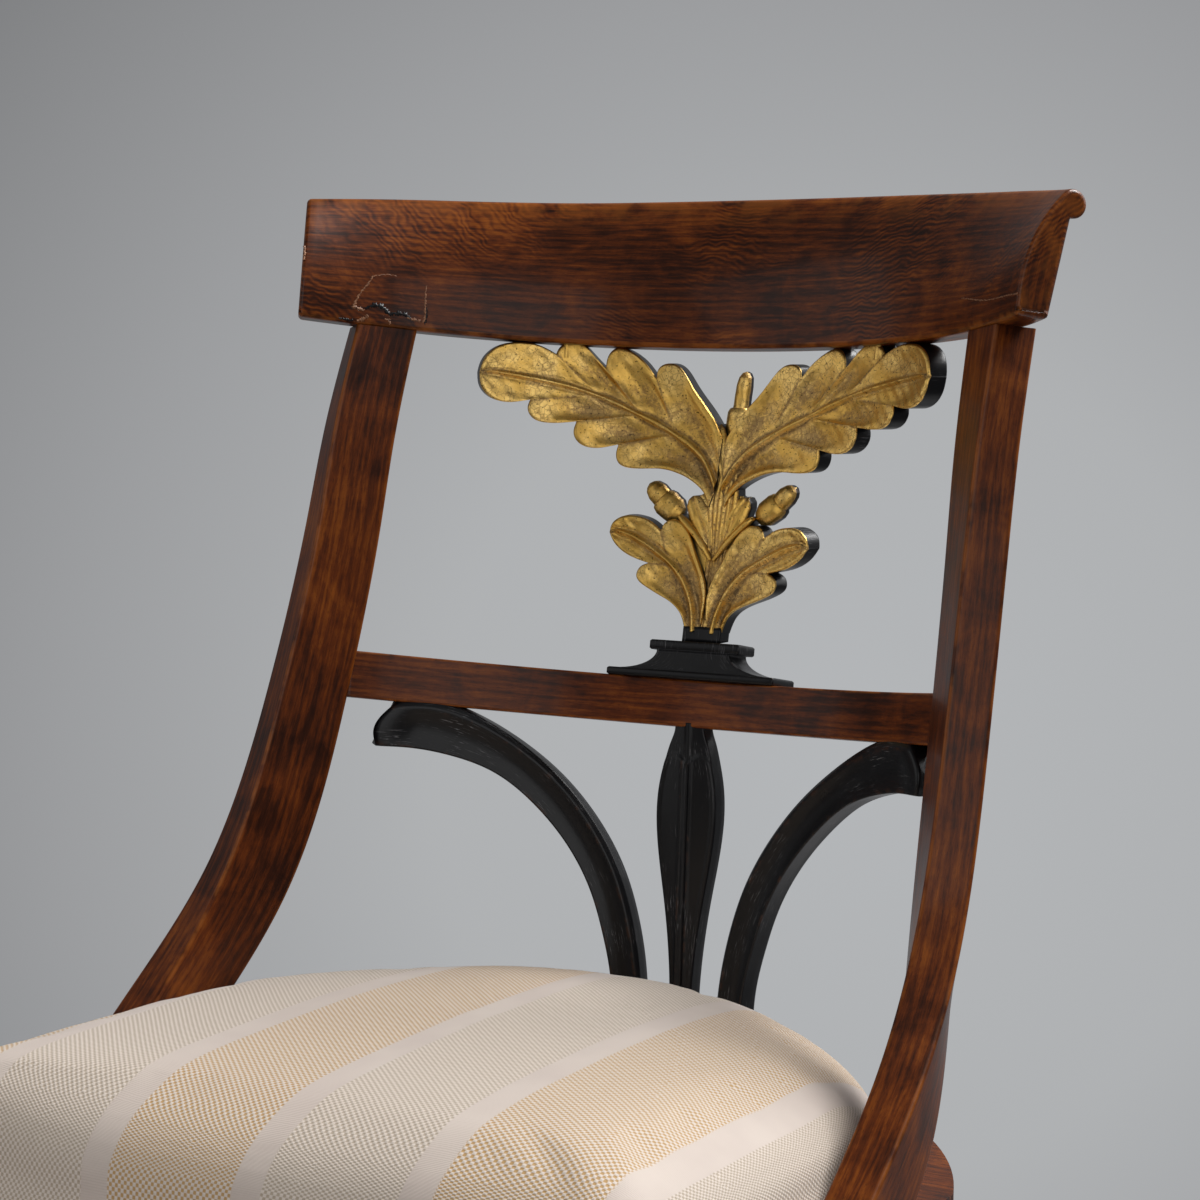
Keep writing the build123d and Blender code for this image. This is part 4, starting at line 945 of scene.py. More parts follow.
CRACKS = (
    Crack(((-213, 29.3, 0.35), (-215, 25, 0.7), (-218.5, 19.5, 0.6), (-221, 14, 0.8), (-222.7, 9, 1.2))),
    Crack(((-213, 29.3, 0.3), (-209, 30.5, 0.35), (-205, 31.3, 0.3), (-200, 31, 0.2))),
    Crack(((-183.2, 27.2, 0.2), (-183.6, 22, 0.5), (-183.4, 18, 0.6), (-183.2, 12, 0.7),
           (-183.1, 7.3, 0.8), (-184, 5, 1.2))),
    Crack(((-193, 7, 0.5), (-189, 6.2, 1.0), (-185.5, 5.8, 0.9))),
    Crack(((-214, 5.5, 1.2), (-217, 3, 1.4), (-220, 1.6, 0.9))),
    Crack(((-222.5, 10, 1.0), (-219, 8.8, 1.3), (-216.5, 8.2, 0.8))),
    Crack(((-205, 5, 0.4), (-202, 2.5, 0.5), (-202, 1.5, 0.3))),
    Crack(((-253.0, 42, 0.8), (-252.6, 38, 1.0), (-253.0, 33, 0.7))),
    Crack(((177.9, 18.7, 0.3), (190, 16.5, 0.4), (202, 14.5, 0.45), (218, 13.3, 0.4),
           (234.8, 12.4, 0.45), (252.6, 10.5, 0.5))),
    Crack(((-216, 9.5, 0.6), (-213.5, 11, 1.2), (-210.5, 12.2, 1.8), (-206, 11, 1.6), (-203, 7.6, 1.4)),
          gap=True),
    Crack(((-203, 7.8, 1.0), (-198, 8.8, 1.6), (-194, 8.6, 1.3), (-191, 6.6, 0.7)), gap=True),
    Crack(((-182.3, 14, 0.4), (-182.2, 8, 0.8), (-182.8, 4, 0.5)), gap=True),
    Crack(((-222, 1.6, 0.5), (-226, 1.8, 0.9), (-230, 2.0, 0.4)), gap=True),
)


@dataclass(frozen=True)
class Stile:
    """Strip that turns from the back's curve into the line of the side rail."""

    rail: TopRail
    top_width: float = 36.0
    foot_width: float = 46.0
    thick: float = 23.0
    angle: float = 46.0
    foot_x: float = 203.0
    foot_reach: float = 400.44
    foot_dip: float = 2.0
    seat_top: float = 410.0
    sunk: float = 0.2
    arris: float = 2.2
    stations: int = 160
    # Each row: share of the fall, of the spread, of the reach forward and of the turn
    rows: tuple[tuple[float, float, float, float], ...] = (
        (0.000, 0.00, 0.000, 0.00), (0.138, 0.04, 0.070, 0.14), (0.252, 0.08, 0.112, 0.21),
        (0.477, 0.26, 0.212, 0.30), (0.706, 0.60, 0.360, 0.54), (0.856, 1.00, 0.551, 0.90),
        (0.930, 1.00, 0.688, 0.99), (0.992, 1.00, 0.850, 1.00), (1.000, 1.00, 1.000, 1.00),
    )

    def corners(self) -> tuple[Array, Array]:
        """Corners of the strip's section at each row.

        Returns:
            Corner points, (row, corner, 3), and the middles of the inner face.
        """
        rows = np.array(self.rows)
        turn = radians(self.angle)
        local = np.array([self.rail.radius * np.sin(turn), self.rail.radius * (np.cos(turn) - 1), 0.0])
        top = turned_x(local, self.rail.rake, (0.0, self.rail.back_y, self.rail.base))
        foot = np.array([self.foot_x, self.rail.back_y - self.foot_reach,
                         self.seat_top - self.foot_width / 2 - self.foot_dip])
        middles = top + (foot - top) * rows[:, [1, 2, 0]]
        ways = np.concatenate([middles[1:2], middles[2:], middles[-1:]]) - np.concatenate(
            [middles[:1], middles[:-2], middles[-2:-1]])
        lean = radians(self.rail.rake)
        ways[0] = (0.0, -np.sin(lean), -np.cos(lean))
        ways[-1] = (0.0, -1.0, 0.0)
        ways /= np.linalg.norm(ways, axis=1, keepdims=True)
        angles = np.radians(self.angle + (90 - self.angle) * rows[:, 3])
        across = np.stack([np.cos(angles), -np.sin(angles), np.zeros(len(rows))], axis=1)
        across[rows[:, 3] == 1.0] = (0.0, -np.sin(radians(1)), 1.0)
        across -= ways * (across * ways).sum(1, keepdims=True)
        across /= np.linalg.norm(across, axis=1, keepdims=True)
        outward = -np.cross(ways, across)
        half = ((self.top_width + (self.foot_width - self.top_width) * rows[:, 0]) / 2)[:, None]
        inner = np.stack([middles - across * half, middles + across * half], axis=1)
        outer = inner[:, ::-1] + (outward * self.thick)[:, None]
        return np.concatenate([inner, outer], axis=1), middles

    def rings(self) -> tuple[Array, Array]:
        """Rounded sections along splines through the corners, cut off just below the top of the seat rail."""
        corners, middles = self.corners()
        knots = chord_lengths(middles)
        samples = np.linspace(0, knots[-1], self.stations)
        smooth = natural_spline(knots, corners.reshape(len(corners), -1), samples).reshape(-1, 4, 3)
        rings, wear_and_shading = rounded_outline(smooth, self.arris)
        rings[..., 2] = np.maximum(rings[..., 2], self.seat_top - self.sunk)
        return rings, wear_and_shading

    def make(self, finishes: Finishes) -> None:
        """Build both stiles in place of their solids."""
        rings, wear_and_shading = self.rings()
        for name, points in (("right_stile", rings), ("left_stile", mirrored(rings))):
            shell = Shell()
            shell.add_closed(points, wear_and_shading)
            piece = shell.build(f"{name}_polished", [finishes.wood])
            piece.data.set_sharp_from_angle(angle=radians(40))
            settle(piece, FRAME_BODY, "polished_wood", name)


@dataclass(frozen=True)
class MiddleRail:
    """Narrow curved rail between the stiles, with the black plinth on it."""

    rail: TopRail
    radius: float = 237.0
    thick: float = 20.0
    height: float = 27.0
    rake: float = 10.0
    drop: float = 189.0
    forward: float = 45.0
    half_span: float = 181.15
    arris: float = 1.6
    base: tuple[float, float, float] = (106.0, 30.0, 4.5)
    waist_width: float = 46.0
    waist_height: float = 11.8
    slab: tuple[float, float, float] = (57.0, 22.0, 5.7)
    step: float = 3.0

    @property
    def origin(self) -> tuple[float, float, float]:
        """Middle of the front's lower edge."""
        return 0.0, self.rail.back_y - self.forward, self.rail.base - self.drop - self.height

    def rail_rings(self) -> tuple[Array, Array]:
        """Rounded rectangle carried along the rail's arc."""
        limit = np.arcsin(self.half_span / self.radius)
        angle = np.linspace(-limit, limit, 90)
        box = np.array([[0.0, 0.0], [self.thick, 0.0], [self.thick, self.height], [0.0, self.height]])
        outline, wear_and_shading = rounded_outline(box, self.arris)
        reach = self.radius + outline[None, :, 0]
        local = np.stack(np.broadcast_arrays(reach * np.sin(angle)[:, None],
                                             reach * np.cos(angle)[:, None] - self.radius,
                                             outline[None, :, 1]), axis=-1)
        return turned_x(local, self.rake, self.origin), wear_and_shading

    def plinth_rings(self) -> tuple[Array, Array]:
        """Rounded rectangles stacked up: base, hollow-sided waist and slab, each with eased edges."""
        width, depth, tall = self.base
        ease = 0.8
        hollow = np.linspace(0, np.pi / 2, 12)
        foot = width / 2 - self.step
        waist_half = foot - (foot - self.waist_width / 2) * np.sin(hollow)
        waist_z = tall + self.waist_height * (1 - np.cos(hollow))
        slab_z = tall + self.waist_height
        slab_half = self.slab[0] / 2
        inset = (depth - self.slab[1]) / 2
        stack = [(width / 2 - ease, ease, 0.0), (width / 2, 0.0, ease), (width / 2, 0.0, tall - ease),
                 (width / 2 - ease, ease, tall)]
        stack += [(half, self.step, height) for half, height in zip(waist_half, waist_z)]
        top = slab_z + self.slab[2]
        stack += [(slab_half - ease, inset + ease, slab_z), (slab_half, inset, slab_z + ease),
                  (slab_half, inset, top - ease), (slab_half - ease, inset + ease, top)]
        rows = np.array(stack)
        half, front, level = rows.T
        back = depth - front
        corners = np.stack([np.stack(pair, 1) for pair in ((-half, front), (half, front), (half, back),
                                                           (-half, back))], axis=1)
        outline, wear_and_shading = rounded_outline(corners, 0.9, 3)
        fall = self.radius - np.sqrt(self.radius ** 2 - (width / 2) ** 2)
        levels = np.broadcast_to(level[:, None, None], (*outline.shape[:2], 1))
        local = np.concatenate([outline, levels], axis=-1) + np.array([0.0, -fall, self.height])
        return turned_x(local, self.rake, self.origin), wear_and_shading

    def make(self, finishes: Finishes) -> None:
        """Build the rail and the plinth in place of their solids."""
        for name, rings, material, slot, node in (
                ("middle_rail_polished", self.rail_rings(), finishes.wood, "polished_wood", "middle_rail"),
                ("black_plinth", self.plinth_rings(), finishes.black, "ebonised_wood", "plinth")):
            shell = Shell()
            shell.add_closed(*rings)
            settle(shell.build(name, [material]), FRAME_BODY, slot, node)


# Oak spray


@dataclass(frozen=True)
class OakLeaf:
    """One carved leaf, right of the middle: lobes on both sides of a midrib.

    Points are (distance from the middle, height over the top rail's lower edge). Each lobe runs from
    notch to notch, and shares say where on the midrib its ends are rooted.
    """

    midrib: Points
    over: tuple[Points, ...]
    over_roots: tuple[float, ...]
    under: tuple[Points, ...]
    under_roots: tuple[float, ...]
    columns: int = 170
    rows: int = 26
    scoop: float = 2.6
    rib: float = 1.7
    groove: float = 1.3
    edge: float = 1.6
    # How far the right leaf hangs below the left one, as a share of its reach
    droop: float = 0.0

    @staticmethod
    def side(lobes: tuple[Points, ...], roots: tuple[float, ...],
             shares: Array) -> tuple[Array, Array, Array]:
        """Outline of one side.

        Args:
            lobes: Points of each lobe.
            roots: Where on the midrib the lobes' ends are rooted.
            shares: Shares of the midrib.

        Returns:
            Outline points, the place across each lobe from -1 to 1, and a mark that is 0 on the last lobe.
        """
        outline = np.zeros((len(shares), 2))
        across = np.zeros(len(shares))
        hollowed = np.ones(len(shares))
        for lobe, low, high in zip(lobes, roots[:-1], roots[1:]):
            chosen = (shares >= low) & (shares <= high)
            local = (shares[chosen] - low) / (high - low)
            outline[chosen] = curve_through(lobe, local)
            across[chosen] = 2 * local - 1
            if lobe is lobes[-1]:
                hollowed[chosen] = 0.25
        return outline, across, hollowed

    def relief(self, away: Array, length: Array, across: Array, hollowed: Array,
               taper: Array) -> tuple[Array, Array]:
        """Height of one side over the carving's highest level, and how hollow it is.

        Each lobe is scooped along its middle and swells at its tip, its edge rolls down in a quarter round,
        and the midrib is a ridge between two grooves.

        Args:
            away: Share of the way from the midrib to the outline.
            length: Length of that way.
            across: Place across the lobe from -1 to 1.
            hollowed: How deep the lobe is scooped.
            taper: How strong the midrib is.

        Returns:
            Depth below the highest level, and the wear mark.
        """
        lobe = 1 - across[:, None] ** 2
        scoop = self.scoop * hollowed[:, None] * lobe * np.sin(np.pi * np.clip(away / 0.82, 0, 1)) ** 1.3
        tip = 0.7 * lobe * smooth_step(away, 0.6, 0.92)
        from_edge = (1 - away) * length[:, None]
        roll = np.clip(1 - from_edge / self.edge, 0, 1)
        rolled = self.edge * (1 - np.sqrt(1 - roll ** 2))
        from_rib = away * length[:, None]
        ridge = self.rib * np.exp(-(from_rib / 1.7) ** 2) * taper[:, None]
        trench = self.groove * np.exp(-((from_rib - 4.2) / 1.9) ** 2) * taper[:, None]
        depth = self.rib + scoop + rolled + trench - tip - ridge
        valley = np.exp(-((1 - np.abs(across)) / 0.09) ** 2)[:, None] * smooth_step(away, 0.1, 0.4)
        # Mark of the scoops, grooves and notches, darkened in the gilt as painted shade.
        hollow = scoop / self.scoop * 0.7 + trench / self.groove * 0.9 + 0.7 * valley - roll * 0.5
        return depth, np.clip(hollow, 0, 1)

    def grid(self) -> tuple[Array, Array, Array]:
        """Grid of the leaf's front, from the lower outline over the midrib to the upper one.

        Returns:
            Places as (across, up), depths, and wear marks.
        """
        shares = np.linspace(0, 1, self.columns)
        rib = curve_through(self.midrib, shares)
        taper = 1 - 0.55 * shares
        sides = []
        away = np.sin(np.linspace(0, np.pi / 2, self.rows))[None, :] ** 1.15
        for lobes, roots in ((self.under, self.under_roots), (self.over, self.over_roots)):
            outline, across, hollowed = self.side(lobes, roots, shares)
            length = np.linalg.norm(outline - rib, axis=1)
            places = rib[:, None] + away[..., None] * (outline - rib)[:, None]
            depth, hollow = self.relief(away, length, across, hollowed, taper)
            sides.append((places, depth, hollow))
        joined = [np.concatenate([low[:, ::-1], high[:, 1:]], axis=1) for low, high in zip(*sides)]
        return joined[0], joined[1], joined[2]


@dataclass(frozen=True)
class Tongue:
    """Small rounded form of the carving: a nut, a cup, a stem or a narrow leaf."""

    axis: Points
    widths: tuple[tuple[float, float], ...]
    crown: float
    setback: float
    groove: float = 0.0
    flutes: int = 1

    def rings(self, count: int = 40) -> tuple[Array, Array, Array]:
        """Half-round sections along the axis, closed by a flat back.

        Args:
            count: Sections along the axis.

        Returns:
            Places as (across, up), depths from the highest level, and wear marks.
        """
        shares = (1 - np.cos(np.linspace(0, np.pi, count))) / 2
        middle = curve_through(self.axis, shares)
        way = np.gradient(middle, axis=0)
        way /= np.linalg.norm(way, axis=1, keepdims=True)
        side = np.stack([way[:, 1], -way[:, 0]], axis=1)
        knots, halves = np.array(self.widths).T
        half = np.interp(shares, knots, halves)
        angle = np.linspace(0, np.pi, 15 + 8 * (self.flutes - 1))
        places = middle[:, None] + side[:, None] * (half[:, None] * np.cos(angle))[..., None]
        round_off = np.sin(angle)[None] * np.minimum(1, half / half.max())[:, None]
        across = np.cos(angle)[None] * half[:, None]
        spots = np.linspace(-0.62, 0.62, self.flutes) if self.flutes > 1 else np.zeros(1)
        dent = sum(np.exp(-((across - spot * half[:, None]) / 1.0) ** 2) for spot in spots) * self.groove
        depth = self.setback + self.crown * (1 - round_off) + dent
        # Mark low on the flanks and in the grooves, darkened in the gilt as painted shade.
        wear_and_shading = np.clip(1 - round_off * 1.4, 0, 1) + dent / max(self.groove, 1) * 0.6
        return places, depth, wear_and_shading


UPPER_LEAF = OakLeaf(
    midrib=((2, -80), (10, -66), (25, -54), (57, -38), (86.5, -26), (122.5, -17), (139, -13.8)),
    over=(
        ((1, -52), (9, -40), (25, -21), (39, -9), (46, -11.5), (47, -18)),
        ((47, -18), (54, -9.5), (65, -1.5), (72.5, 0), (77, -5), (77.5, -12)),
        ((77.5, -12), (85.5, -4), (93, 2.5), (100, 3), (104.5, 0), (106, -4)),
        ((106, -4), (115, 1), (126, 3), (137, 0), (142.5, -8), (143.5, -15)),
    ),
    over_roots=(0.0, 0.27, 0.43, 0.61, 1.0),
    under=(
        ((5, -92), (9, -84.5), (18, -77), (39, -70.5), (56, -70.5), (64, -67.5), (66, -62), (65, -56.5)),
        ((65, -56.5), (79.5, -59), (88, -56), (91.5, -50), (90.5, -43.5)),
        ((90.5, -43.5), (106, -44.5), (114, -42), (117.5, -36), (116.5, -30.5)),
        ((116.5, -30.5), (127, -32.5), (137, -29.5), (142, -23), (143.5, -15)),
    ),
    under_roots=(0.0, 0.27, 0.43, 0.62, 1.0),
)
LOWER_LEAF = OakLeaf(
    midrib=((6, -163), (9, -148), (17, -133), (25, -125), (35, -118), (49, -110), (61, -105.8)),
    over=(
        ((2, -160), (1, -138), (10, -118), (18, -104), (26, -99.5), (32, -102), (33.5, -106)),
        ((33.5, -106), (40, -101), (49, -98), (58, -98.5), (63.5, -103), (64.5, -108)),
    ),
    over_roots=(0.0, 0.55, 1.0),
    under=(
        ((12, -163), (16, -152.5), (28, -144), (40, -138), (45.5, -132), (44, -127.5), (39, -125)),
        ((39, -125), (52, -120.5), (61, -113.5), (64.5, -108)),
    ),
    under_roots=(0.0, 0.5, 1.0),
    columns=130,
    scoop=2.0,
    droop=0.07,
)
SIDE_FORMS = (
    Tongue(((36, -89), (41, -84), (46, -79.5)),
           ((0, 6), (0.5, 6), (0.8, 4.6), (0.93, 2.8), (1, 0.2)), 5.0, 5.5),
    Tongue(((23, -98.5), (30, -94), (38, -87.5)),
           ((0, 0.5), (0.1, 4.5), (0.35, 7.6), (0.75, 8), (0.93, 7), (1, 5)), 6.0, 4.0),
    Tongue(((1, -121), (8, -104), (18, -86)),
           ((0, 2), (0.35, 6), (0.7, 7), (0.9, 5), (0.97, 3), (1, 0.3)), 3.0, 3.2, 1.6),
    Tongue(((1, -122), (12, -108), (23.5, -97.5)), ((0, 1.2), (0.3, 2.1), (0.9, 2.3), (1, 1.5)), 3.0, 1.4),
    Tongue(((3, -158), (6, -136), (12, -117), (20, -103)),
           ((0, 3), (0.3, 6.5), (0.7, 7.5), (1, 3)), 2.0, 5.0, 0.8),
    Tongue(((2, -114), (7, -100), (14, -86)), ((0, 4), (0.4, 8), (0.8, 8), (1, 4)), 2.0, 5.4, 0.8),
)
MIDDLE_FORMS = (
    Tongue(((4.4, -36), (4.8, -25), (5.6, -13.5)),
           ((0, 4.8), (0.6, 4.6), (0.85, 3.8), (0.96, 2.2), (1, 0.2)), 4.0, 7.0),
    Tongue(((4.0, -52), (4.2, -43), (4.4, -34.5)),
           ((0, 3), (0.15, 6), (0.4, 7.2), (0.85, 7.2), (0.97, 6), (1, 4.8)), 5.0, 5.0),
    Tongue(((1, -164), (2, -120), (3, -84), (4, -49)),
           ((0, 8.5), (0.15, 6), (0.4, 6), (0.65, 10), (0.85, 6), (1, 3)), 3.5, 1.9, 1.5, 5),
    Tongue(((2, -80), (-1.5, -62), (-4.5, -44)),
           ((0, 1), (0.4, 4), (0.7, 4.4), (0.92, 2.4), (1, 0.3)), 3.0, 2.0, 0.9),
)


@dataclass(frozen=True)
class OakSpray:
    """Gilt carving of oak leaves and acorns on a black ground."""

    rail: TopRail
    radius: float = 225.0
    setback: float = 8.0
    lean: float = 0.235
    thick: float = 13.5
    acorn_thick: float = 13.8
    spread: float = 0.975
    # Black block under the stems: half width, front and rear depth, and its lowest and highest level
    foot: tuple[float, float, float, float, float] = (12.0, 1.2, 13.0, -168.6, -160.0)

    @property
    def bow(self) -> Bow:
        """Sheet that the carving's front follows."""
        return Bow(self.radius, self.rail.back_y + self.setback, self.rail.base, self.lean)

    @staticmethod
    def hand_cut(across: Array, height: Array) -> Array:
        """Small unevenness that the carver's gouge left."""
        broad = 0.25 * np.sin(0.33 * across + 1.0) * np.sin(0.29 * height)
        return broad + 0.12 * np.sin(0.9 * across + 0.7 * height)

    def add_foot(self, shell: Shell) -> None:
        """Add the black block that carries the stems on the plinth."""
        half, front, rear, low, high = self.foot
        corners = np.array([[-half, front], [half, front], [half, rear], [-half, rear]])
        outline, _ = rounded_outline(corners, 1.0, 3)
        levels = np.linspace(low, high, 5)[:, None] + self.rail.base
        shell.add_closed(self.bow.place(outline[None, :, 0], levels, outline[None, :, 1]), finish=1)

    def add_leaf(self, shell: Shell, leaf: OakLeaf, side: float) -> None:
        """Add a leaf: gilt front, black wall and black back.

        Args:
            shell: Mesh in the making.
            leaf: The leaf's form.
            side: 1 for the right of the chair, -1 for the left.
        """
        places, depth, wear_and_shading = leaf.grid()
        across = side * self.spread * places[..., 0]
        height = places[..., 1] + self.rail.base - max(side, 0.0) * leaf.droop * places[..., 0]
        depth = depth + self.hand_cut(across, height)
        shell.add_grid(self.bow.place(across, height, depth), wear_and_shading)
        back = np.full_like(depth, self.thick)
        shell.add_grid(self.bow.place(across, height, back), finish=1)
        loop_x, loop_z, loop_depth = (
            np.concatenate([grid[:, 0], grid[-1], grid[::-1, -1], grid[0, ::-1]])
            for grid in (across, height, depth))
        shares = np.array([0.0, 0.06, 0.94, 1.0])[:, None]
        wall = loop_depth + shares * (self.thick - loop_depth)
        shell.add_grid(self.bow.place(loop_x, loop_z, wall), finish=1)

    def add_tongue(self, shell: Shell, form: Tongue, side: float) -> None:
        """Add a small form: gilt round front and black back.

        Args:
            shell: Mesh in the making.
            form: The form.
            side: 1 for the right of the chair, -1 for the left.
        """
        places, depth, wear_and_shading = form.rings()
        across = side * self.spread * places[..., 0]
        height = places[..., 1] + self.rail.base
        depth = depth + self.hand_cut(across, height)
        gilt = self.bow.place(across, height, depth)
        back = self.bow.place(across, height, np.full_like(depth, self.acorn_thick))[:, ::-1]
        rings = np.concatenate([gilt, back], axis=1)
        marks = np.concatenate([wear_and_shading, np.zeros_like(wear_and_shading)], axis=1)
        finish = np.concatenate([np.zeros(wear_and_shading.shape[1] - 1, int), np.ones(wear_and_shading.shape[1] + 1, int)])
        shell.add_closed(rings, marks, finish)

    def make(self, finishes: Finishes) -> None:
        """Build the spray in place of its solid."""
        shell = Shell()
        for side in (1.0, -1.0):
            self.add_leaf(shell, UPPER_LEAF, side)
            self.add_leaf(shell, LOWER_LEAF, side)
            for form in SIDE_FORMS:
                self.add_tongue(shell, form, side)
        for form in MIDDLE_FORMS:
            self.add_tongue(shell, form, 1.0)
        self.add_foot(shell)
        piece = shell.build("gilt_oak_spray", [finishes.gold, finishes.black])
        settle(piece, FRAME_BODY, "gilt_wood", "oak_leaf_carving")


# Splat


@dataclass(frozen=True)
class Splat:
    """Black splat below the middle rail: two hollowed horns and a ridged lancet leaf."""

    rail: TopRail
    radius: float = 237.0
    forward: float = 47.0
    lean: float = 0.055
    thick: float = 15.0
    top: float = 599.0
    # Inner and outer edge of the right horn from its tip to its foot, below the top rail
    horn_inner: Points = ((157, -205), (140, -206), (119, -215), (98, -229.5), (76, -249), (55, -275),
                          (40, -302), (31, -329), (24.5, -366), (23.5, -386), (23.5, -405))
    horn_outer: Points = ((166, -231), (152, -232.5), (134, -237), (112, -246.5), (90, -264.5), (70, -288.5),
                          (56, -314), (47.5, -340), (42, -366), (41, -386), (41, -405))
    # Height below the top rail and half width of the lancet
    lancet: Points = ((-213.5, 9.4), (-217, 9.2), (-225, 11.5), (-234, 14.2), (-250, 17.6), (-268, 18.6),
                      (-290, 16.6), (-320, 11.8), (-345, 8.6), (-367, 7.0), (-386, 6.6), (-405, 6.6))
    panel_top: float = -232.0

    @property
    def bow(self) -> Bow:
        """Sheet that the splat's front follows."""
        return Bow(self.radius, self.rail.back_y - self.forward, self.top, self.lean)

    def boxed(self, shell: Shell, across: Array, height: Array, depth: Array, wear_and_shading: Array) -> None:
        """Add a piece of the splat: a carved front, straight sides and a flat back.

        Args:
            shell: Mesh in the making.
            across: Distance from the middle of each point of the front.
            height: Height of each point over the floor.
            depth: Depth of the carved front.
            wear_and_shading: Wear mark of the front.
        """
        front = self.bow.place(across, height, depth)
        shares = np.array([0.05, 0.5, 0.95])
        columns = [front]
        for edge in (-1, 0):
            reach = depth[:, [edge]]
            wall = reach + shares * (self.thick - 0.6 - reach)
            wall = wall if edge else wall[:, ::-1]
            columns.append(self.bow.place(across[:, [edge]], height[:, [edge]], wall))
        inset = np.linspace(0.98, 0.02, 7)
        back_x = across[:, :1] + inset * (across[:, -1:] - across[:, :1])
        back_z = height[:, :1] + inset * (height[:, -1:] - height[:, :1])
        back = self.bow.place(back_x, back_z, np.full_like(back_x, self.thick))
        rings = np.concatenate([columns[0], columns[1], back, columns[2]], axis=1)
        marks = np.concatenate([wear_and_shading, np.zeros((len(wear_and_shading), rings.shape[1] - wear_and_shading.shape[1]))], axis=1)
        shell.add_closed(rings, marks)

    def add_horn(self, shell: Shell, side: float) -> None:
        """Add a horn: a hollow between a chamfered inner edge and a crisp outer arris, closed off at the tip.

        Args:
            shell: Mesh in the making.
            side: 1 for the right of the chair, -1 for the left.
        """
        shares = np.linspace(0, 1, 150)
        inner = curve_through(self.horn_inner, shares)
        outer = curve_through(self.horn_outer, shares)
        place = (1 - np.cos(np.linspace(0, np.pi, 27))) / 2
        points = inner[:, None] + place[None, :, None] * (outer - inner)[:, None]
        width = np.linalg.norm(outer - inner, axis=1)[:, None]
        reach = chord_lengths((inner + outer) / 2)[:, None]
        from_tip = smooth_step(reach, 3.0, 15.0)
        bulge = 5.0 * np.sin(np.pi * place) * np.exp(-reach / 7.0)
        hollow = 2.0 * from_tip * np.sin(np.pi * np.clip((place - 0.16) / 0.80, 0, 1))
        chamfer = 2.2 * smooth_step(0.15 - place[None], 0.0, 0.15)
        crisp = np.minimum(place, 1 - place)[None] * width
        eased = 1 - np.sqrt(1 - np.clip(1 - crisp, 0, 1) ** 2)
        depth = 0.3 + hollow + chamfer + eased + 2.0 * np.exp(-reach / 2.0)
        wear_and_shading = np.exp(-((place - 0.96) / 0.05) ** 2) + np.exp(-((place - 0.16) / 0.05) ** 2) + 0 * width
        self.boxed(shell, side * (points[..., 0] + bulge), points[..., 1] + self.rail.base, depth, wear_and_shading)

    def add_lancet(self, shell: Shell) -> None:
        """Add the lancet: two leaning panels on both sides of a grooved ridge, under a small cap."""
        shares = np.linspace(0, 1, 160)
        line = curve_through(self.lancet, shares)
        height, half = line[:, :1], line[:, 1:]
        place = np.sin(np.linspace(-np.pi / 2, np.pi / 2, 61))[None]
        across = place * half
        away = np.abs(across)
        arch = self.panel_top - 4.0 * ((away - 0.55 * half) / (0.45 * half)) ** 2
        cap = smooth_step(height - arch, -0.8, 0.8)
        lean = 2.2 * (away / half) ** 1.4
        ridge = -0.7 * np.exp(-((away - 2.7) / 0.9) ** 2)
        groove = 1.5 * np.exp(-(away / 1.5) ** 2)
        rim = -0.5 * np.exp(-((half - away - 1.8) / 1.0) ** 2)
        eased = 1 - np.sqrt(1 - np.clip(1 - (half - away), 0, 1) ** 2)
        panel_depth = 1.0 + lean + ridge + groove + rim
        cap_depth = 2.6 + 1.2 * (away / half) ** 2 - 0.9 * np.exp(-(away / 2.0) ** 2)
        depth = panel_depth * (1 - cap) + cap_depth * cap + eased
        wear_and_shading = np.exp(-((away - 2.7) / 0.7) ** 2) * (1 - cap)
        self.boxed(shell, across, np.broadcast_to(height, across.shape) + self.rail.base, depth, wear_and_shading)

    def make(self, finishes: Finishes) -> None:
        """Build the three pieces in place of their solids."""
        for name, side in (("right_splat_arm", 1.0), ("left_splat_arm", -1.0)):
            shell = Shell()
            self.add_horn(shell, side)
            settle(shell.build(f"{name}_carved", [finishes.black]), FRAME_BODY, "ebonised_wood", name)
        shell = Shell()
        self.add_lancet(shell)
        piece = shell.build("lancet_leaf_carved", [finishes.black])
        settle(piece, FRAME_BODY, "ebonised_wood", "lancet_leaf")


# Seat frame and legs


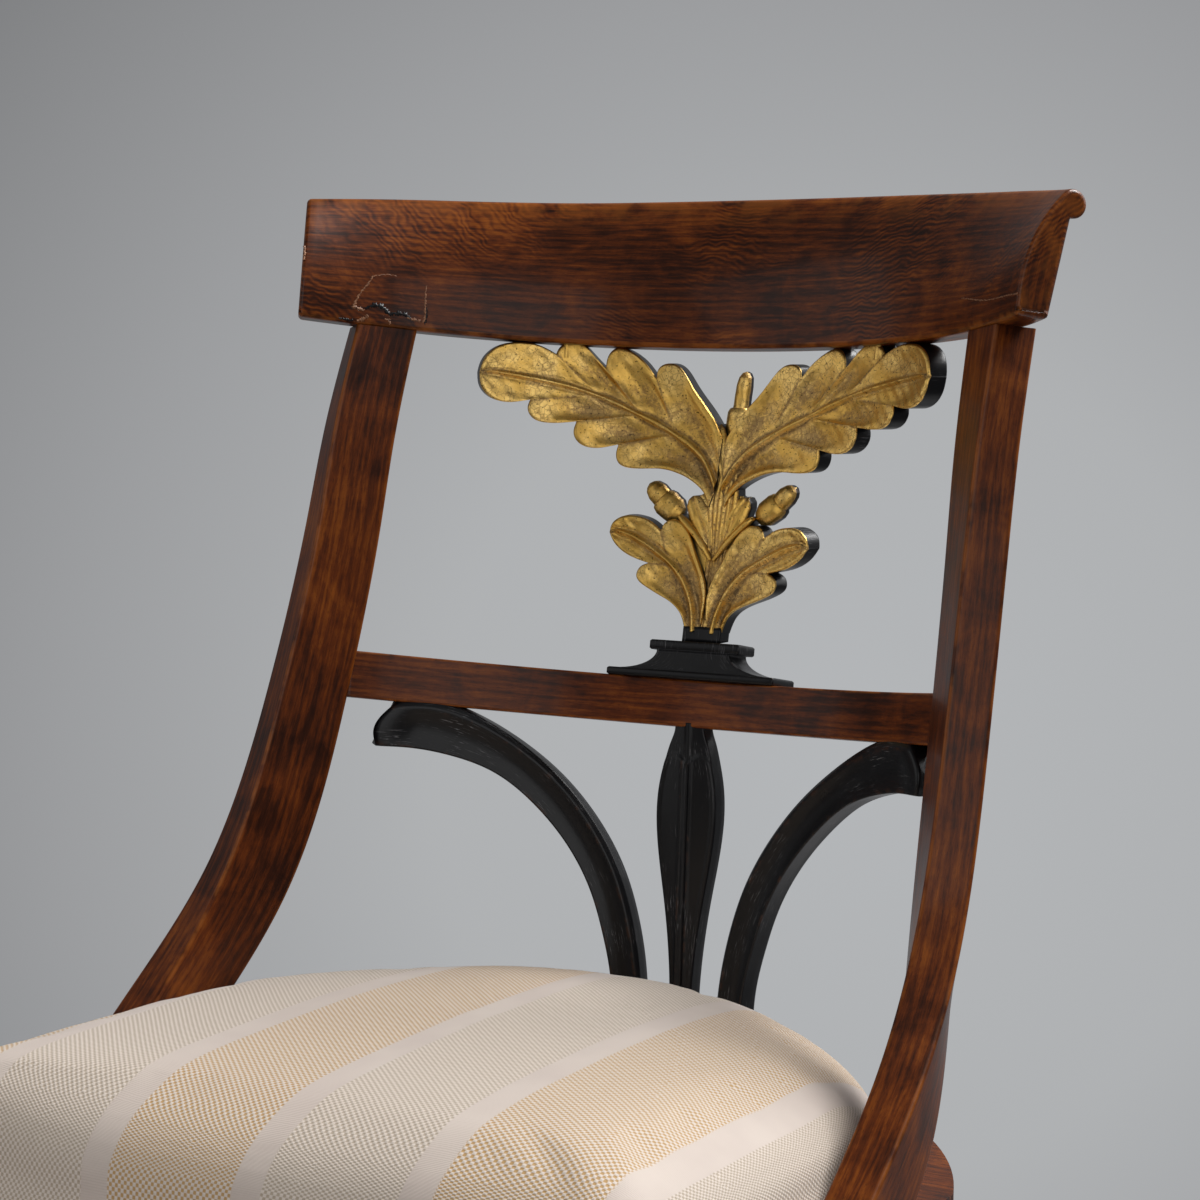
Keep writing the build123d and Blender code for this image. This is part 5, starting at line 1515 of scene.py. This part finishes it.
@dataclass(frozen=True)
class SeatFrame:
    """Rails, legs and inner blocks, from their solids, with eased arrises."""

    arris: float = 1.8

    def ease(self, node: str, material: bpy.types.Material) -> None:
        """Stand an eased copy in for a solid.

        Args:
            node: The solid's name.
            material: Finish of the copy.
        """
        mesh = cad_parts[node].data.copy()
        mesh.materials.clear()
        mesh.materials.append(material)
        piece = finished_object(f"{node}_polished", mesh)
        mesh.set_sharp_from_angle(angle=radians(30))
        flat = piece.modifiers.new("flat_faces", "DECIMATE")
        flat.decimate_type = "DISSOLVE"
        flat.angle_limit = radians(0.6)
        bevel = piece.modifiers.new("eased_arrises", "BEVEL")
        bevel.width = self.arris * MM
        bevel.segments = 3
        bevel.limit_method = "ANGLE"
        bevel.angle_limit = radians(40)
        settle(piece, FRAME_BODY, "polished_wood", node)

    def make(self, finishes: Finishes) -> None:
        """Ease the polished pieces and dress the plain ones."""
        for node in ("left_side_rail", "right_side_rail"):
            self.ease(node, finishes.wood_deep)
        for node in ("front_seat_rail", "rear_seat_rail"):
            self.ease(node, finishes.wood_across)
        for node in ("left_front_leg", "right_front_leg", "left_rear_leg", "right_rear_leg"):
            self.ease(node, finishes.wood_upright)
        plain = {
            finishes.beech: ("left_corner_block", "right_corner_block", "left_ledger", "right_ledger",
                             "front_ledger", "rear_ledger", "middle_rail_dowels", "stile_foot_dowels",
                             "plinth_pins", "splat_pins", "seat_frame_dowels", "seat_front_bar",
                             "seat_rear_bar", "seat_left_bar", "seat_right_bar", "seat_bar_dowels"),
            finishes.steel: ("ledger_screws", "corner_block_screws", "webbing_tacks", "cover_tacks"),
            finishes.felt: ("felt_glides",),
            finishes.jute: ("webbing_lengthways", "webbing_across"),
            finishes.raw: ("tenon_peg",),
            finishes.gold: ("carving_pins",),
        }
        for material, nodes in plain.items():
            for node in nodes:
                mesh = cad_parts[node].data
                mesh.materials.clear()
                mesh.materials.append(material)
                log.info("solid %s dressed in %s", node, material.name)


# Loose seat


@dataclass(frozen=True)
class LooseSeat:
    """Stuffed seat in striped cloth that lifts out of its frame."""

    half: float = 201.0
    rear_radius: float = 203.0
    crown: float = 75.5
    rail_top: float = 410.0
    hem: float = 389.6
    # Radius of the front corners at the bars, and how far the cloth stands out there
    bar_corner: float = 2.0
    bar_cover: float = 1.25
    # Height over the rail at which the cover turns in from its upright side, and how fast it climbs then
    left_edge: tuple[float, float] = (52.0, 14.0)
    right_edge: tuple[float, float] = (37.0, 22.0)
    rear_edge: tuple[float, float] = (31.0, 38.0)
    front_edge: tuple[float, float] = (41.0, 20.0)
    start_inset: float = 4.0
    swell: float = 2.5
    # How far the cloth is pulled over towards the right at both sides, and where the pull starts and ends
    pull: float = 9.0
    pull_span: tuple[float, float] = (80.0, 165.0)
    # Share of the drop at the sides that the cloth follows
    follow: float = 0.8
    # Height over the rail up to which the cover is held still while it swells, and the swelling pressure
    held_up_to: float = 4.0
    pressure: float = 4.0
    voxel: float = 5.0
    frames: int = 20

    @property
    def front(self) -> float:
        """Front of the cover."""
        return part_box("seat_cover")[0].y / MM

    @property
    def rear(self) -> float:
        """Rear of the cover."""
        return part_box("seat_cover")[1].y / MM

    def outline(self, inset: float, count: int = 240, corner: float = 20.0) -> Array:
        """Outline of the seat: straight front and sides, rounded front corners and a round rear.

        Args:
            inset: How far the outline is drawn in.
            count: Points round the outline.
            corner: Radius of the front corners.

        Returns:
            Points, evenly spaced.
        """
        half = self.half - inset
        radius = self.rear_radius - inset
        centre = self.rear - self.rear_radius
        front = self.front + inset
        rear_angle = np.arcsin(half / radius)
        turn = np.linspace(-rear_angle, rear_angle, 120)
        back = np.stack([radius * np.sin(-turn), centre + radius * np.cos(turn)], axis=1)
        bend = np.linspace(0, np.pi / 2, 16)
        left = np.stack([-half + corner * (1 - np.cos(bend)), front + corner * (1 - np.sin(bend))], axis=1)
        right = left[::-1] * np.array([-1.0, 1.0])
        loop = np.concatenate([back, left, right, back[:1]])
        reach = chord_lengths(loop)
        even = np.linspace(0, reach[-1], count, endpoint=False)
        return np.stack([np.interp(even, reach, loop[:, k]) for k in (0, 1)], axis=1)

    def edge(self, way: Array) -> tuple[Array, Array]:
        """Edge height and climb in a direction.

        Args:
            way: Directions from the seat's middle to the edge, one row each.

        Returns:
            Height of the edge over the rail, and the distance over which the crown climbs.
        """
        rear = smooth_step(way[:, 1], -0.6, 0.85)[:, None]
        front = smooth_step(-way[:, 1], 0.75, 0.95)[:, None]
        left = smooth_step(-way[:, 0], -0.3, 0.3)[:, None]
        side = left * np.array(self.left_edge) + (1 - left) * np.array(self.right_edge)
        ends = rear * np.array(self.rear_edge) + front * np.array(self.front_edge)
        mixed = side * (1 - rear - front) + ends
        return mixed[:, 0], mixed[:, 1]

    def rings(self) -> Array:
        """Rings from the middle of the underside, round the hem and up to the top of the crown.

        The sides stand upright. From their upper edge the crown climbs as one less a falling exponential of
        the distance from the edge.
        """
        outline = self.outline(self.start_inset * 0.5)
        middle = np.array([0.0, (self.front + self.rear) / 2])
        reach = np.linalg.norm(outline - middle, axis=1)
        edge, climb = self.edge((outline - middle) / reach[:, None])
        low = self.outline(-self.bar_cover, corner=self.bar_corner)
        rings = []
        for share in (0.3, 0.7, 0.985):
            rings.append(np.column_stack([middle + share * (low - middle), np.full(len(low), self.hem)]))
        for level in (self.hem + 0.6, self.rail_top - 8, self.rail_top - 2):
            rings.append(np.column_stack([low, np.full(len(low), level)]))
        for share in np.linspace(0.05, 0.96, 6):
            drawn = low + min(1.0, 2 * share) * (outline - low)
            rings.append(np.column_stack([drawn, self.rail_top + share * edge]))
        for share in 1 - np.linspace(0.0, 0.99, 44) ** 1.6:
            from_edge = (1 - share) * reach
            rise = edge + (self.crown - edge) * (1 - np.exp(-(from_edge / climb) ** 0.85))
            height = self.rail_top + rise - self.start_inset * 0.6
            rings.append(np.column_stack([middle + share * (outline - middle), height]))
        return np.array(rings)

    def inflate(self, piece: bpy.types.Object) -> None:
        """Swell the crown with a pressure simulation, capped, with the frame's sides held still.

        Args:
            piece: The start form, which takes the swollen form.
        """
        remesh = piece.modifiers.new("even_cells", "REMESH")
        remesh.mode = "VOXEL"
        remesh.voxel_size = self.voxel * MM
        self.apply_shape(piece)
        start = vertex_places(piece)
        held = piece.vertex_groups.new(name="held")
        low = np.flatnonzero(start[:, 2] < (self.rail_top + self.held_up_to) * MM)
        held.add(low.tolist(), 1.0, "REPLACE")
        cloth = piece.modifiers.new("stuffing", "CLOTH")
        cloth.settings.quality = 5
        cloth.settings.use_pressure = True
        cloth.settings.uniform_pressure_force = self.pressure
        cloth.settings.effector_weights.gravity = 0.0
        cloth.settings.vertex_group_mass = "held"
        cloth.point_cache.frame_end = self.frames
        for step in range(1, self.frames + 1):
            bpy.context.scene.frame_set(step)
        self.apply_shape(piece)
        piece.vertex_groups.clear()
        bpy.context.scene.frame_set(1)
        move = vertex_places(piece) - start
        length = np.linalg.norm(move, axis=1, keepdims=True)
        cap = self.swell * MM
        capped = start + move * (cap * np.tanh(length / cap) / np.maximum(length, 1e-9))
        piece.data.vertices.foreach_set("co", capped.ravel())
        piece.data.update()

    @staticmethod
    def apply_shape(piece: bpy.types.Object) -> None:
        """Make a piece's mesh what its modifiers give, and drop the modifiers."""
        graph = bpy.context.evaluated_depsgraph_get()
        mesh = bpy.data.meshes.new_from_object(piece.evaluated_get(graph))
        old = piece.data
        materials = list(old.materials)
        piece.modifiers.clear()
        piece.data = mesh
        mesh.materials.clear()
        for material in materials:
            mesh.materials.append(material)
        bpy.data.meshes.remove(old)

    def lay_cloth(self, piece: bpy.types.Object) -> None:
        """Give each point its place on the flat cloth, which follows the sides down from the crown."""
        points = vertex_places(piece)
        drop = np.maximum((self.rail_top + self.crown) * MM - points[:, 2], 0)
        inner = np.abs(points[:, 0]) / (self.half * MM)
        side = np.sign(points[:, 0]) * drop * smooth_step(inner, 0.9, 1.0) * self.follow
        middle = (self.front + self.rear) / 2 * MM
        round_rear = np.sqrt(np.maximum(self.rear_radius ** 2 - (points[:, 0] / MM) ** 2, 0)) * MM
        rear_at = (self.rear - self.rear_radius) * MM + round_rear
        reach = np.where(points[:, 1] > middle, rear_at - middle, middle - self.front * MM)
        ends = np.abs(points[:, 1] - middle) / np.maximum(reach, MM)
        deep = np.sign(points[:, 1]) * drop * smooth_step(ends, 0.86, 0.975) * self.follow
        pull_from, pull_to = self.pull_span
        pull = self.pull * MM * smooth_step(np.abs(points[:, 0]), pull_from * MM, pull_to * MM)
        flat = np.stack([points[:, 0] + side - pull, points[:, 1] + deep, np.zeros(len(points))], axis=1)
        layer = piece.data.attributes.new("cloth", "FLOAT_VECTOR", "POINT")
        layer.data.foreach_set("vector", flat.astype(np.float32).ravel())

    def make_dust_cloth(self, finishes: Finishes) -> None:
        """Thin black cloth stretched under the frame, with a slight sag."""
        shell = Shell()
        outline = self.outline(5.0, 160)
        middle = np.array([0.0, (self.front + self.rear) / 2])
        rings = []
        for share in np.linspace(1.0, 0.02, 24):
            sag = 0.5 * np.cos(np.pi / 2 * share)
            level = self.hem - 0.3 - sag
            rings.append(np.column_stack([middle + share * (outline - middle), np.full(len(outline), level)]))
        grid = np.array(rings)
        closing = np.repeat(grid[-1].mean(0)[None, None], len(outline), axis=1)
        shell.add_grid(np.concatenate([grid, closing]), ring=True)
        piece = shell.build("dust_cloth_stretched", [finishes.linen])
        solid = piece.modifiers.new("cloth_thickness", "SOLIDIFY")
        solid.thickness = 0.4 * MM
        settle(piece, SEAT_BODY, "dust_cloth", "dust_cloth")

    def make(self, finishes: Finishes) -> None:
        """Build the stuffed seat in place of its soft solids."""
        shell = Shell()
        shell.add_closed(self.rings())
        piece = shell.build("striped_seat", [finishes.cloth])
        self.inflate(piece)
        self.lay_cloth(piece)
        finer = piece.modifiers.new("finer", "SUBSURF")
        finer.levels = 1
        finer.render_levels = 1
        piece.data.polygons.foreach_set("use_smooth", np.ones(len(piece.data.polygons), bool))
        settle(piece, SEAT_BODY, "striped_cloth", "seat_cover", "wadding", "horsehair_pad", "hessian")
        self.make_dust_cloth(finishes)


# Studio


# Name, place, aim, size and power of each lamp
LAMPS = (
    ("key", (0.9, 1.3, 2.6), (0.0, -0.1, 0.5), 1.2, 76.0),
    ("front", (1.7, -2.6, 1.7), (0.0, 0.0, 0.6), 3.0, 30.0),
    ("fill", (-2.0, -1.5, 1.5), (0.0, 0.1, 0.6), 2.6, 13.0),
    ("rear", (1.2, 2.1, 1.9), (0.0, 0.1, 0.6), 1.6, 12.0),
)


@dataclass(frozen=True)
class Studio:
    """Plain grey studio: camera at the photograph's angle, soft lamps and a pale floor."""

    yaw: float = 28.52
    tilt: float = 5.42
    roll: float = 0.40
    focal_pixels: float = 2549.68
    frame_pixels: float = 1200.0
    sensor: float = 36.0
    eye: tuple[float, float, float] = (645.0, -1097.3, 808.8)
    floor_radius: float = 1100.0

    def camera(self) -> None:
        """Place the camera by its yaw, tilt and roll."""
        yaw, tilt, roll = radians(self.yaw), radians(self.tilt), radians(self.roll)
        side = np.array([np.cos(yaw), np.sin(yaw), 0.0])
        ahead = np.array([-np.sin(yaw), np.cos(yaw), 0.0])
        up = np.array([0.0, 0.0, 1.0])
        look = ahead * np.cos(tilt) - up * np.sin(tilt)
        head = up * np.cos(tilt) + ahead * np.sin(tilt)
        right = side * np.cos(roll) + head * np.sin(roll)
        head = head * np.cos(roll) - side * np.sin(roll)
        data = bpy.data.cameras.new("photo_camera")
        data.sensor_width = self.sensor
        data.lens = self.focal_pixels / self.frame_pixels * self.sensor
        camera = bpy.data.objects.new("photo_camera", data)
        matrix = Matrix(np.column_stack([right, head, -look]).tolist()).to_4x4()
        matrix.translation = Vector(self.eye) * MM
        camera.matrix_world = matrix
        bpy.context.scene.collection.objects.link(camera)
        bpy.context.scene.camera = camera

    @staticmethod
    def lamp(name: str, place: tuple[float, float, float], aim: tuple[float, float, float], size: float,
             power: float) -> None:
        """Add a square soft lamp.

        Args:
            name: Name of the lamp.
            place: Where it stands, in metres.
            aim: Point that it faces.
            size: Side of the square, in metres.
            power: Power in watts.
        """
        data = bpy.data.lights.new(name, "AREA")
        data.size = size
        data.energy = power
        lamp = bpy.data.objects.new(name, data)
        lamp.location = place
        lamp.rotation_euler = (Vector(aim) - Vector(place)).to_track_quat("-Z", "Y").to_euler()
        bpy.context.scene.collection.objects.link(lamp)

    def floor(self) -> None:
        """Pale round floor that fades into the backdrop at its rim."""
        sheet = FinishSheet("pale_floor")
        place = sheet.object_coords()
        reach = sheet.node("ShaderNodeVectorMath", {0: place}, operation="LENGTH").outputs["Value"]
        fade = sheet.span(reach, self.floor_radius * MM * 0.55, self.floor_radius * MM * 0.98)
        material = sheet.shade(Base_Color=(0.62, 0.62, 0.63), Roughness=0.85,
                               Alpha=sheet.math("SUBTRACT", 1.0, fade))
        shell = Shell()
        turn = np.linspace(0, 2 * np.pi, 96, endpoint=False)
        rim = np.stack([np.cos(turn), np.sin(turn), np.zeros_like(turn)], axis=1)
        reach_rows = np.linspace(0.0, self.floor_radius, 12)[:, None, None]
        shell.add_grid(reach_rows * rim[None], ring=True)
        shell.build("floor", [material])

    @staticmethod
    def backdrop() -> None:
        """Dim studio with a lit grey wall behind the chair, brightest low and to the right."""
        world = bpy.data.worlds.new("studio")
        bpy.context.scene.world = world
        sheet = NodeSheet(world)
        ways = sheet.node("ShaderNodeTexCoord").outputs["Generated"]
        spot = sheet.node("ShaderNodeVectorMath", {0: ways, 1: (-0.386, 0.909, -0.155)}, operation="DISTANCE")
        grey = sheet.ramp(sheet.math("MULTIPLY", spot.outputs["Value"], 0.5), (
            (0.0, (0.455, 0.468, 0.482)), (0.08, (0.430, 0.440, 0.450)), (0.15, (0.330, 0.335, 0.345)),
            (0.23, (0.195, 0.198, 0.204)), (0.5, (0.125, 0.125, 0.128)), (1.0, (0.125, 0.125, 0.128))))
        light = sheet.node("ShaderNodeBackground", {0: grey})
        sheet.node("ShaderNodeOutputWorld", {0: light.outputs[0]})

    def make(self) -> None:
        """Set up the camera, floor, backdrop and lamps."""
        bpy.context.scene.view_settings.view_transform = "Standard"
        self.camera()
        self.floor()
        self.backdrop()
        for lamp in LAMPS:
            self.lamp(*lamp)


def main() -> None:
    """Build the chair's pieces in order, then the studio."""
    logging.basicConfig(level=logging.INFO, format="%(name)s: %(message)s")
    finishes = Finishes()
    rail = TopRail()
    rail.make(finishes)
    Stile(rail).make(finishes)
    MiddleRail(rail).make(finishes)
    OakSpray(rail).make(finishes)
    Splat(rail).make(finishes)
    SeatFrame().make(finishes)
    LooseSeat().make(finishes)
    Studio().make()


if __name__ == "__main__":
    main()
